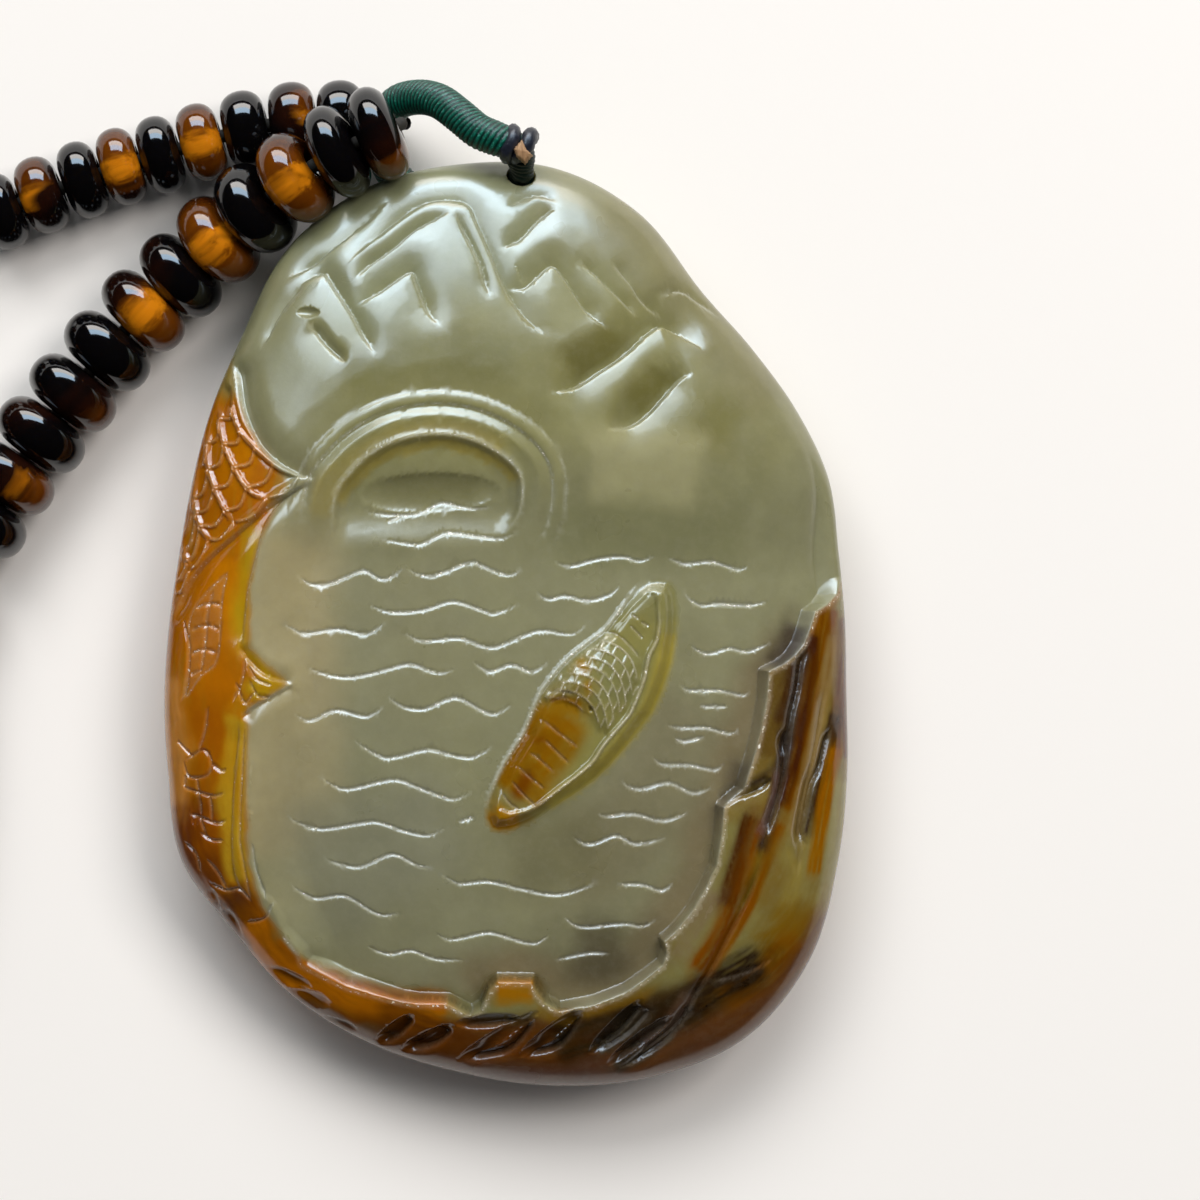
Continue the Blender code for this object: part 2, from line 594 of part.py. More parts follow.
def make_necklace():
    upper_radius = 0.5 * BEAD_DIAMETER_UPPER
    lower_radius = 0.5 * BEAD_DIAMETER_LOWER
    upper = [Vector((x * UNIT, y * UNIT, upper_radius + 0.02 * MM)) for x, y in UPPER_BEADS]
    lower = [Vector(p) * UNIT for p in LOWER_BEADS]
    make_strand("upper", upper, upper_radius, (1, 1, 1, 0, 1, 0, 1, 1, 1))
    make_strand("lower", lower, lower_radius, (1, 1, 0, 1, 0, 1, 0, 1, 1, 1, 1, 1))

    turn = [Vector(p) * UNIT for p in THREAD_TURN]
    route = upper[::-1] + turn[::-1] + lower
    line = spread(route, 1.7 * MM)
    add_tube("necklace_thread", line, [0.5 * THREAD_DIAMETER] * len(line), "thread", sides=5)

    # The rest, put away: in from the upper strand, round the inside of the coil,
    # back round its outside and out to the lower strand. It turns as far round
    # as the length of the necklace asks.
    lead_in = [
        upper[-1] + (upper[-1] - upper[-2]).normalized() * 2.2 * MM,
        Vector((-35.0, 21.6, 0.0)) * MM,
        Vector((-39.3, 15.5, 0.0)) * MM,
        Vector((-41.0, 6.0, 0.0)) * MM,
    ]
    lead_out = [
        Vector((-34.5, -1.8, 0.0)) * MM,
        Vector((-33.5, 2.0, 0.0)) * MM,
        lower[-1] + (lower[-1] - lower[-2]).normalized() * 2.4 * MM,
    ]
    middle = 0.5 * (COIL_INNER + COIL_OUTER)
    half = 0.5 * (COIL_OUTER - COIL_INNER)
    start = Vector((COIL_CENTRE.x + COIL_INNER, COIL_CENTRE.y, 0.0))
    end = Vector((COIL_CENTRE.x + COIL_OUTER, COIL_CENTRE.y, 0.0))
    straight = walked(line) + walked(lead_in + [start]) + walked([end] + lead_out)
    rest = NECKLACE_LENGTH - straight - math.pi * half
    turned = math.degrees(rest / (COIL_INNER + COIL_OUTER))
    inner = coil_route(COIL_INNER, 0.0, -turned)
    outer = coil_route(COIL_OUTER, -turned, 0.0)
    last = math.radians(-turned)
    radial = Vector((math.cos(last), math.sin(last), 0.0))
    onward = Vector((math.sin(last), -math.cos(last), 0.0))
    hub = Vector((COIL_CENTRE.x, COIL_CENTRE.y, 0.0)) + middle * radial
    bend = []
    for angle in (-45.0, 0.0, 45.0):
        a = math.radians(angle)
        bend.append(hub + half * (math.sin(a) * radial + math.cos(a) * onward))
    route = lead_in + inner + bend + outer + lead_out
    share = np.linspace(0.0, 1.0, len(route))
    radii = [upper_radius + (lower_radius - upper_radius) * float(ease(s)) for s in share]
    for point, radius in zip(route, radii):
        point.z = radius + 0.02 * MM
    add_tube("strand_put_away", route, radii, "bead_dark", sides=8)


def main():
    clear_scene()
    make_stone()
    make_bail()
    make_necklace()


main()
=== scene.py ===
"""Looks of a carved jade pendant on its bead necklace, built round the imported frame.

All drawing is in millimetres on the stone: X right, Y up the picture, Z off the
table. The stone is a heightfield over a disc, cut by the same ridges as the CAD
solid and then by the fine lines that are too small for it.
"""

import math

import bpy
import numpy as np
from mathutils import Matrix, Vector


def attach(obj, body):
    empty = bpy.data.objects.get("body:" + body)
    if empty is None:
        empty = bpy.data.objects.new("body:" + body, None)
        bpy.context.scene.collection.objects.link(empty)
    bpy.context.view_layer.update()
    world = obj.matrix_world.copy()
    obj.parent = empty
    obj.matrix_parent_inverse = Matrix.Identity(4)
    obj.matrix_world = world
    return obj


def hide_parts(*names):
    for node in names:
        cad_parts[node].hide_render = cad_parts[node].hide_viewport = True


MM = 0.001

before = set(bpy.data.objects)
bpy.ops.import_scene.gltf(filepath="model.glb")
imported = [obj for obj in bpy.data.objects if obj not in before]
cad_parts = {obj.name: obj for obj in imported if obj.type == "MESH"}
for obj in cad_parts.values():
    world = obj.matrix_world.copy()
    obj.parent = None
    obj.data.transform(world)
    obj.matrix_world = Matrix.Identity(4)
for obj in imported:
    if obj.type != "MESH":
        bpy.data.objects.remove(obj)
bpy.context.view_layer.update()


# Camera, floor and light.

VIEW_CENTRE = (5.60, 1.39)
VIEW_WIDTH = 71.09
VIEW_LEVEL = 5.0
CAMERA_HEIGHT = 300.0
SENSOR = 36.0


def make_camera():
    data = bpy.data.cameras.new("camera")
    data.sensor_width = SENSOR
    data.lens = SENSOR * (CAMERA_HEIGHT - VIEW_LEVEL) / VIEW_WIDTH
    data.clip_start = 0.01
    data.clip_end = 20.0
    camera = bpy.data.objects.new("camera", data)
    camera.location = (VIEW_CENTRE[0] * MM, VIEW_CENTRE[1] * MM, CAMERA_HEIGHT * MM)
    bpy.context.scene.collection.objects.link(camera)
    bpy.context.scene.camera = camera


WARM, COOL = (1.0, 0.96, 0.92), (0.60, 0.80, 1.0)
# Soft panels that face the stone: name, place in metres, size, power, colour and job.
LIGHTS = (
    ("window_low", (-0.06, 0.62, 0.20), (0.66, 0.17), 3.2, WARM, "highlight"),
    ("window_sky", (-0.06, 0.57, 0.38), (0.66, 0.20), 4.6, COOL, "highlight"),
    ("sky_sheen", (-0.28, 0.60, 0.66), (0.9, 0.50), 9.6, (0.66, 0.80, 0.96), "highlight on stone"),
    ("wall_over_window", (-0.10, 0.75, 1.0), (1.6, 0.9), 5.4, (0.88, 0.96, 1.0), "shading"),
    ("soft_window", (-0.10, 0.62, 0.60), (0.7, 0.4), 5.0, (0.98, 0.95, 0.93), "shading"),
    ("soft_right", (0.45, 0.30, 0.75), (0.4, 0.4), 4.1, (0.98, 0.93, 0.89), "shading"),
)
WORLD_COLOUR = (0.98, 0.97, 0.97, 1.0)
WORLD_STRENGTH = 0.10
FLOOR_COLOUR = (0.908, 0.888, 0.862)
FLOOR_REACH = 2.0


def make_light(name, place, size, power, colour, job, stone_only):
    data = bpy.data.lights.new(name, "AREA")
    data.shape = "RECTANGLE"
    data.size, data.size_y = size
    data.energy = power
    data.color = colour
    light = bpy.data.objects.new(name, data)
    light.location = place
    light.rotation_euler = (-Vector(place)).to_track_quat("-Z", "Y").to_euler()
    light.visible_glossy = job != "shading"
    light.visible_diffuse = job == "shading"
    if job == "highlight on stone":
        light.light_linking.receiver_collection = stone_only
    bpy.context.scene.collection.objects.link(light)


def make_surroundings(stone_only):
    """World, lights and floor; one light reaches only the collection given."""
    world = bpy.data.worlds.new("studio")
    bpy.context.scene.world = world
    world.use_nodes = True
    back = world.node_tree.nodes["Background"]
    back.inputs["Color"].default_value = WORLD_COLOUR
    back.inputs["Strength"].default_value = WORLD_STRENGTH
    world.cycles_visibility.glossy = False
    bpy.context.scene.view_settings.view_transform = "Standard"

    for light in LIGHTS:
        make_light(*light, stone_only)

    points = [(FLOOR_REACH * x, FLOOR_REACH * y, 0.0)
              for x, y in ((-1, -1), (1, -1), (1, 1), (-1, 1))]
    mesh = bpy.data.meshes.new("floor")
    mesh.from_pydata(points, [], [(0, 1, 2, 3)])
    floor = bpy.data.objects.new("floor", mesh)
    bpy.context.scene.collection.objects.link(floor)
    paint = Nodes("floor_paper")
    grain = paint.noise(900.0, detail=3.0)
    paint.set("Base Color", FLOOR_COLOUR)
    paint.set("Roughness", 0.9)
    paint.bump(grain, 0.04, 0.0001)
    mesh.materials.append(paint.material)


# Materials.

class Nodes:
    """A material's node tree, with short ways to add the nodes used here."""

    def __init__(self, name):
        self.material = bpy.data.materials.new(name)
        self.material.use_nodes = True
        self.tree = self.material.node_tree
        self.shader = self.tree.nodes["Principled BSDF"]
        self.place = None

    def set(self, socket, value):
        if isinstance(value, bpy.types.NodeSocket):
            self.tree.links.new(value, self.shader.inputs[socket])
            return
        if isinstance(value, tuple) and len(value) == 3 and socket != "Subsurface Radius":
            value = (*value, 1.0)
        self.shader.inputs[socket].default_value = value

    def add(self, kind, **settings):
        node = self.tree.nodes.new(kind)
        for name, value in settings.items():
            setattr(node, name, value)
        return node

    def feed(self, node, socket, value):
        if isinstance(value, bpy.types.NodeSocket):
            self.tree.links.new(value, node.inputs[socket])
        elif isinstance(value, tuple) and len(value) == 3:
            node.inputs[socket].default_value = (*value, 1.0)
        else:
            node.inputs[socket].default_value = value

    def point(self):
        if self.place is None:
            self.place = self.add("ShaderNodeTexCoord").outputs["Object"]
        return self.place

    def stretched(self, scale, turn=(0.0, 0.0, 0.0)):
        node = self.add("ShaderNodeMapping")
        node.inputs["Scale"].default_value = scale
        node.inputs["Rotation"].default_value = [math.radians(a) for a in turn]
        self.tree.links.new(self.point(), node.inputs["Vector"])
        return node.outputs["Vector"]

    def noise(self, scale, detail=2.0, rough=0.5, warp=0.0, place=None):
        node = self.add("ShaderNodeTexNoise")
        node.inputs["Scale"].default_value = scale
        node.inputs["Detail"].default_value = detail
        node.inputs["Roughness"].default_value = rough
        node.inputs["Distortion"].default_value = warp
        self.tree.links.new(place or self.point(), node.inputs["Vector"])
        return node.outputs["Fac"]

    def ramp(self, value, low, high, start=0.0, end=1.0):
        node = self.add("ShaderNodeMapRange", interpolation_type="SMOOTHSTEP")
        self.feed(node, "Value", value)
        for name, number in (("From Min", low), ("From Max", high), ("To Min", start),
                             ("To Max", end)):
            node.inputs[name].default_value = number
        return node.outputs["Result"]

    def math(self, kind, a, b=0.0):
        node = self.add("ShaderNodeMath", operation=kind)
        self.feed(node, 0, a)
        self.feed(node, 1, b)
        return node.outputs[0]

    def mix(self, share, a, b):
        node = self.add("ShaderNodeMix", data_type="RGBA")
        self.feed(node, 0, share)
        self.feed(node, 6, a)
        self.feed(node, 7, b)
        return node.outputs[2]

    def attribute(self, name, output="Color"):
        return self.add("ShaderNodeAttribute", attribute_name=name).outputs[output]

    def bump(self, height, strength, distance, below=None):
        node = self.add("ShaderNodeBump")
        node.inputs["Strength"].default_value = strength
        node.inputs["Distance"].default_value = distance
        self.feed(node, "Height", height)
        if below is not None:
            self.tree.links.new(below, node.inputs["Normal"])
        self.tree.links.new(node.outputs["Normal"], self.shader.inputs["Normal"])
        return node.outputs["Normal"]


def tone(red, green, blue):
    """A colour named by its screen values, as light."""
    def light(value):
        share = value / 255.0
        return share / 12.92 if share <= 0.04045 else ((share + 0.055) / 1.055) ** 2.4
    return light(red), light(green), light(blue)


# Drawing on the stone.

STONE_THICKNESS = 11.0
# The widest level of the stone, as a share of its thickness.
EQUATOR_SHARE = 0.46
BACK_SPOT_DEPTH = 0.12
FULLNESS = 2.4
CROWN_TRIM = 0.30
HOLE_DIAMETER = 1.55
HOLE_FRONT = np.array((0.95, 26.40, 6.55))
HOLE_BACK = np.array((0.25, 24.0, 2.3))
HOLE_SINK = (-2.2, 1.6)
HOLE_MARGIN = 0.05
HOLE_EDGE = 0.10
HOLE_REACH = 3.0

# Distances from the middle to the stone's edge, at equal turns from the right.
OUTLINE = (
    20.12, 20.18, 20.96, 21.35, 21.85, 22.92, 25.55, 27.13, 27.33, 27.06,
    25.69, 23.17, 21.54, 20.33, 19.75, 19.91, 20.65, 21.87, 23.74, 24.27,
    25.40, 26.14, 26.72, 27.53, 28.23, 28.36, 26.88, 24.31, 22.16, 20.65,
)

MOUNTAINS = (
    (((-13.5, 20.0), (-11.5, 21.2), (-9.0, 23.1), (-7.3, 24.6), (-6.6, 25.2)), 0.35, 2.2, 1.4),
    (((-9.9, 20.6), (-8.0, 22.4), (-6.0, 24.1), (-4.6, 24.95), (-3.0, 25.05), (-2.1, 24.7),
      (-1.6, 23.6), (-0.7, 21.5), (0.0, 19.8), (0.9, 18.3), (2.2, 17.1), (3.9, 16.8)),
     0.42, 1.6, 0.9),
    (((-9.0, 19.9), (-8.1, 21.0), (-6.6, 22.1), (-5.2, 23.3), (-3.4, 24.2), (-2.9, 24.5)),
     0.42, 0.9, 2.6),
    (((-2.9, 24.5), (-2.6, 23.6), (-1.5, 21.3), (-1.1, 19.9), (-0.6, 18.8)), 0.35, 0.8, 1.0),
    (((-12.6, 19.6), (-11.8, 20.2), (-10.7, 20.65), (-9.9, 19.6), (-8.9, 18.1), (-8.2, 16.8),
      (-7.2, 15.4)), 0.45, 1.6, 1.6),
    (((-14.4, 16.0), (-13.2, 18.4), (-11.5, 20.3)), 0.25, 1.0, 1.2),
    (((-9.0, 18.6), (-7.8, 19.2), (-6.8, 19.9), (-5.5, 20.7), (-5.1, 19.9), (-4.4, 18.2),
      (-3.4, 17.1)), 0.50, 1.9, 2.2),
    (((-11.6, 17.8), (-10.4, 16.3), (-9.1, 15.2)), 0.45, 0.9, 1.6),
    (((-0.3, 22.0), (0.9, 22.6), (2.0, 23.8), (3.2, 24.7)), 0.40, 1.2, 1.6),
    (((0.0, 24.4), (1.0, 24.95), (2.2, 25.2), (3.25, 24.75)), 0.15, 0.8, 0.8),
    (((0.0, 19.75), (1.1, 19.65), (1.8, 20.25), (2.8, 21.05), (3.7, 20.1), (4.9, 18.3),
      (6.5, 17.0)), 0.52, 1.7, 2.6),
    (((3.9, 21.15), (4.9, 20.9), (6.2, 19.7), (8.1, 17.9)), 0.35, 1.2, 1.0),
    (((6.2, 21.4), (7.4, 20.05), (8.2, 19.0), (9.6, 18.1)), 0.30, 1.6, 1.0),
    (((8.9, 19.2), (10.4, 19.65), (11.7, 18.9), (13.0, 17.9)), 0.22, 1.2, 1.2),
    (((2.4, 13.45), (4.1, 13.85), (5.6, 14.8), (7.2, 15.9), (8.6, 17.2), (9.5, 17.6),
      (11.1, 16.6), (12.0, 15.9)), 0.95, 2.6, 2.4),
    (((5.8, 11.4), (7.2, 11.55), (8.3, 12.2), (9.4, 13.4), (10.3, 14.4), (11.2, 14.8)),
     0.85, 2.6, 2.6),
)

# The bridge: the rim of its opening, and heights at steps outward from that rim.
ARCH = (
    (-10.3, 5.0), (-9.95, 7.5), (-8.93, 8.9), (-7.8, 9.9), (-6.2, 10.7), (-4.4, 11.04),
    (-2.58, 10.93), (-0.99, 10.36), (0.37, 9.45), (1.05, 8.4), (0.95, 6.6), (0.2, 5.2),
)
ARCH_STEPS = (-2.0, -0.8, -0.32, -0.10, 0.06, 0.30, 0.70, 1.10, 1.74, 1.84, 2.10, 2.44, 2.60,
              3.40, 4.20)
ARCH_HEIGHTS = (-0.62, -0.60, -0.36, -0.05, 0.0, -0.12, -0.10, 0.0, -0.32, -0.12, -0.07,
                -0.10, -0.24, -0.10, 0.0)
ARCH_FEET = (4.4, 6.8)
ARCH_REACH = 5.6
ARCH_TAPER = 0.16
# Bright edges of the bridge, painted highlights that are partly frosting: distance outward from the
# rim, half width, frosting and painted shine.
ARCH_SHINE = ((0.02, 0.09, 0.50), (1.80, 0.06, 0.60), (2.58, 0.07, 0.35))

# The house at the left: the band of chips over its roof, the eave, and its wall.
HOUSE = (
    (((-16.2, 15.9), (-15.8, 14.5), (-15.4, 12.6), (-14.5, 10.7), (-13.3, 9.5), (-12.1, 8.8),
      (-10.9, 8.5)), 0.50, 1.8, 0.8),
    (((-10.9, 8.4), (-12.6, 7.6), (-14.0, 6.7), (-15.7, 5.2), (-17.4, 3.8), (-18.6, 2.4),
      (-19.3, 1.0), (-19.7, -0.3)), 0.40, 1.3, 0.8),
    (((-15.4, -1.8), (-15.35, -0.2), (-15.1, 2.1), (-14.6, 4.0), (-14.0, 6.2), (-12.6, 7.8)),
     0.22, 1.2, 0.7),
    (((-15.6, -1.2), (-14.9, -2.2), (-13.9, -3.0), (-12.4, -3.5)), 0.30, 1.0, 0.6),
    (((-12.4, -3.6), (-13.4, -4.2), (-14.7, -5.0), (-15.4, -5.6)), 0.25, 0.9, 0.6),
    (((-15.4, -15.9), (-16.0, -14.7), (-16.1, -12.4), (-15.9, -8.8), (-15.5, -5.5)),
     0.25, 0.8, 0.6),
)
ROOF = (
    (-17.2, 15.0), (-16.1, 14.0), (-15.4, 11.9), (-14.4, 10.4), (-13.0, 9.2), (-11.6, 8.7),
    (-14.0, 7.1), (-15.7, 5.6), (-17.4, 4.2), (-18.6, 2.8), (-19.6, 0.4), (-21.0, 1.0),
    (-21.0, 12.0),
)
ROOF_DEPTH = 0.30
ROOF_SIDE = 0.5

# The right bank: crevices between the steps of rock, each with a depth and half width.
CLIFFS = (
    (((12.8, -10.7), (13.7, -10.15), (14.5, -9.9), (15.3, -9.5), (15.7, -9.0)), 0.45, 0.9, 0.9),
    (((16.4, -7.9), (16.7, -6.8), (16.9, -5.4), (17.3, -3.8), (17.5, -2.4), (17.9, -1.3)),
     0.40, 1.1, 0.6),
    (((15.3, -12.5), (15.6, -11.7), (16.3, -9.5), (16.5, -8.3), (16.7, -6.0)), 0.50, 0.9, 0.6),
    (((6.2, -26.2), (7.8, -25.8), (9.9, -24.2), (11.4, -21.5), (12.4, -19.8), (13.2, -18.2),
      (14.4, -15.8), (15.0, -13.8)), 0.45, 1.1, 0.9),
    (((17.9, -13.1), (17.5, -12.5), (17.8, -10.9), (18.1, -9.5), (18.6, -8.5), (19.0, -7.0),
      (19.2, -5.9)), 0.45, 0.8, 0.6),
    (((17.0, -15.2), (17.3, -13.9), (17.4, -11.5), (17.9, -9.0), (18.5, -6.0), (18.9, -3.4)),
     0.20, 0.9, 0.7),
    (((12.2, -20.9), (13.6, -20.6), (14.8, -20.2), (15.8, -19.6)), 0.14, 0.8, 0.8),
    (((5.4, -25.3), (7.3, -24.0), (8.6, -22.5)), 0.30, 0.8, 0.7),
    (((8.1, -25.4), (9.8, -24.0), (11.2, -22.6)), 0.28, 0.8, 0.7),
)

RIM_CUTS = (
    (((-7.5, -24.9), (-6.4, -24.4), (-5.3, -23.2)), 0.50, 0.8, 0.5),
    (((-5.9, -25.3), (-4.1, -24.8), (-3.0, -23.8)), 0.55, 0.9, 0.5),
    (((-2.6, -23.6), (-1.2, -23.6), (0.9, -23.3)), 0.35, 0.6, 0.4),
    (((-2.5, -25.8), (-0.1, -25.3), (1.0, -24.4), (1.9, -23.0)), 0.60, 1.0, 0.6),
    (((1.1, -25.5), (3.3, -24.8), (4.7, -22.7)), 0.60, 1.0, 0.6),
    (((5.2, -25.3), (6.8, -24.0), (8.1, -22.3)), 0.50, 1.0, 0.6),
    (((6.3, -26.0), (8.3, -24.5), (9.8, -23.3)), 0.35, 0.8, 0.6),
)

# Each group of ridges, with the frosting and painted highlight on its crests and the share of a line
# that tapers.
RIDGES = (
    (MOUNTAINS, 0.42, 0.26), (HOUSE, 0.45, 0.14), (CLIFFS, 0.10, 0.14), (RIM_CUTS, 0.10, 0.20),
)
RIDGE_FALL = 1.7
CREST_SHARES = (0.55, 0.45)
CREST_BEVEL = 0.18
# A whitened line beside each crest: partly frosting, partly painted highlight.
CREST_LINE = 0.10
CREST_LINE_WIDTH = 0.13

# A leaf-shaped hollow lies beside each of the rim's cuts.
LEAF_WIDTH = 0.45
LEAF_DEPTH = 0.32
LEAF_LENGTH = 0.55
LEAF_SHIFT = (-0.10, 0.15)

# Dips: middle, half length, half width, turn in degrees, depth.
HOLLOW_POWER = 0.7
HOLLOWS = (
    ((-17.2, -16.7), 1.1, 0.40, 95.0, 0.25),
    ((-16.1, -18.4), 1.6, 0.60, 102.0, 0.38),
    ((-12.8, -20.9), 1.5, 0.50, -20.0, 0.38),
    ((-11.8, -22.1), 1.5, 0.60, -8.0, 0.30),
    ((-10.2, -23.6), 1.5, 0.40, -12.0, 0.32),
    ((-11.5, 18.25), 0.7, 0.30, -3.0, 0.25),
    ((-4.4, 7.7), 4.1, 1.15, 2.0, 0.28),
    ((-18.1, -11.0), 0.9, 0.35, 80.0, 0.15),
)

# The basin of water. Its right and lower banks are steep and crisp, its left one wide.
WATER_DEPTH = 1.25
WATER_WALL = 0.22
WATER_BANK = 3.2
WATER_TOP = 11.5
WATER_RISE = 8.5
BANK_START = 0.3
SOFT_WALL = 0.25
SOFT_WALL_PLACE = (-5.0, -15.0)
SOFT_WALL_FADE = (5.0, 2.0)
# The basin's lip: a low rise whose whitened edge is partly frosting and partly painted highlight.
LIP_RISE = 0.05
LIP_WIDTH = 0.12
LIP_FROST_AND_SHINE = 0.55
LIP_LEFT = -13.0
LIP_TOP = 3.4
WATER_EDGE = (
    (20.5, 3.2), (19.79, 2.54), (19.55, 1.72), (18.94, 1.11), (18.28, 0.70), (17.96, -0.22),
    (17.61, -1.13), (17.10, -1.85), (16.39, -2.36), (15.47, -2.77), (15.37, -4.40),
    (15.02, -6.23), (14.65, -7.66), (14.24, -8.89), (14.0, -9.70), (12.82, -10.72),
    (12.71, -12.35), (12.41, -14.19), (11.80, -15.41), (10.98, -16.84), (9.96, -18.07),
    (9.35, -18.58), (9.51, -19.29), (9.25, -20.0), (8.12, -20.9), (7.10, -21.6),
    (5.27, -22.35), (3.23, -22.76), (2.35, -22.25), (1.85, -21.55), (1.60, -21.0),
    (-0.39, -21.0), (-0.89, -21.55), (-1.39, -22.68), (-2.01, -23.05), (-3.38, -22.3),
    (-5.13, -22.30), (-6.13, -22.18), (-7.62, -21.80), (-9.37, -21.30), (-10.87, -20.56),
    (-11.86, -20.06), (-12.11, -19.31), (-13.11, -18.06), (-13.73, -16.57),
)
WATER = WATER_EDGE + ((-15.0, -15.0), (-24.0, -14.0), (-24.0, 14.0), (20.5, 14.0))
LEFT_BANK = (
    (-13.0, -19.4), (-14.0, -17.0), (-14.6, -14.6), (-14.9, -12.0), (-14.8, -9.0),
    (-14.5, -6.0), (-14.1, -3.4), (-14.5, -1.0), (-14.5, 1.5), (-14.1, 4.0), (-13.2, 6.4),
    (-11.8, 8.6), (-10.6, 11.0), (-10.0, 14.5),
)

BOAT_HEIGHT = 0.72
BOAT_SIDE = 0.85
HULL = (
    (9.81, 2.47), (9.14, 2.53), (8.54, 2.47), (7.93, 2.11), (7.21, 1.32), (6.54, 0.41),
    (5.94, -0.31), (5.15, -0.92), (4.18, -1.64), (3.46, -2.31), (2.79, -3.09), (2.13, -4.0),
    (1.65, -5.09), (1.16, -6.30), (0.56, -7.26), (-0.05, -8.23), (-0.41, -8.96),
    (-0.77, -9.80), (-1.01, -10.53), (-1.08, -11.37), (-0.77, -11.98), (-0.53, -12.16),
    (0.32, -12.10), (1.52, -11.62), (2.73, -10.89), (3.94, -10.17), (5.15, -9.32),
    (6.24, -8.35), (7.09, -7.39), (7.93, -6.30), (8.78, -5.21), (9.38, -3.88), (9.87, -2.31),
    (10.17, -0.49), (10.23, 0.84), (10.11, 1.80),
)
GUNWALE = HULL[1:21]
DECK_DEPTH = 0.20
DECK_SIDE = 0.25
INNER_RIM = (
    (9.05, 1.9), (9.08, 1.20), (9.14, 0.11), (8.96, -0.98), (8.54, -1.82), (8.36, -2.55),
    (8.17, -3.40), (7.69, -4.60), (7.33, -5.33), (6.60, -6.18), (5.88, -7.02), (5.15, -8.11),
    (4.18, -8.96), (3.22, -9.68), (2.01, -10.65), (1.28, -11.01), (0.32, -11.19),
    (-0.41, -10.89),
)
DECK = INNER_RIM + (
    (-0.35, -9.6), (0.3, -8.3), (1.0, -7.1), (1.75, -5.8), (2.3, -4.4), (3.1, -3.2),
    (4.2, -2.1), (5.6, -1.0), (6.6, -0.1), (7.5, 1.0), (8.4, 1.9),
)
MAT_HEIGHT = 0.60
MAT_SIDE = 1.7
MAT = (
    (5.9, -0.45), (6.5, -0.55), (7.1, -0.95), (7.6, -1.45), (8.1, -2.2), (8.15, -3.3),
    (7.6, -4.5), (6.9, -5.7), (6.2, -6.6), (5.6, -6.3), (4.9, -5.5), (4.2, -4.9),
    (3.4, -4.6), (2.5, -4.7), (2.2, -4.2), (2.8, -3.4), (3.6, -2.4), (4.6, -1.5),
)
# The woven strips of the roof: arched rows across the boat, with short ties between them.
MAT_CENTRE = (5.2, -3.3)
MAT_AXIS = (0.61, 0.79)
MAT_BULGE = 0.25
MAT_BULGE_MIDDLE = 0.2
MAT_WIDTH = (-2.4, 2.8)
MAT_BORDER = 0.12
MAT_ROWS = (-2.3, -1.7, -1.1, -0.5, 0.1, 0.7, 1.3, 1.9, 2.5, 3.1)
MAT_TIES = (-1.7, -0.9, -0.1, 0.7, 1.5, 2.3)
TIE_SHIFT = 0.4
TIE_LENGTH = 0.6
TIE_LEAN = 0.12
# A small round hole at the mat's edge, as a dip.
MAT_HOLE = ((5.09, -4.97), 0.16, 0.16, 0.0, 0.25)

# Styles of the lines: depth or rise, half width, frosting and painted shine, share that tapers at
# each end.
WAVE_STYLE = (0.11, 0.13, 1.0, 0.25)
ROOF_RIB_STYLE = (0.20, 0.15, 0.30, 0.2)
TILE_STYLE = (0.14, 0.10, 0.40, 0.1)
BAR_STYLE = (0.10, 0.16, 0.60, 0.1)
FRAME_STYLE = (0.08, 0.12, 0.55, 0.02)
HOUSE_LINE_STYLE = (0.13, 0.12, 0.45, 0.15)
GUNWALE_STYLE = (0.12, 0.12, 0.50, 0.2)
INNER_RIM_STYLE = (0.12, 0.10, 0.50, 0.2)
BOAT_LINE_STYLE = (0.10, 0.11, 0.45, 0.15)
WEAVE_STYLE = (0.06, 0.050, 0.55, 0.15)

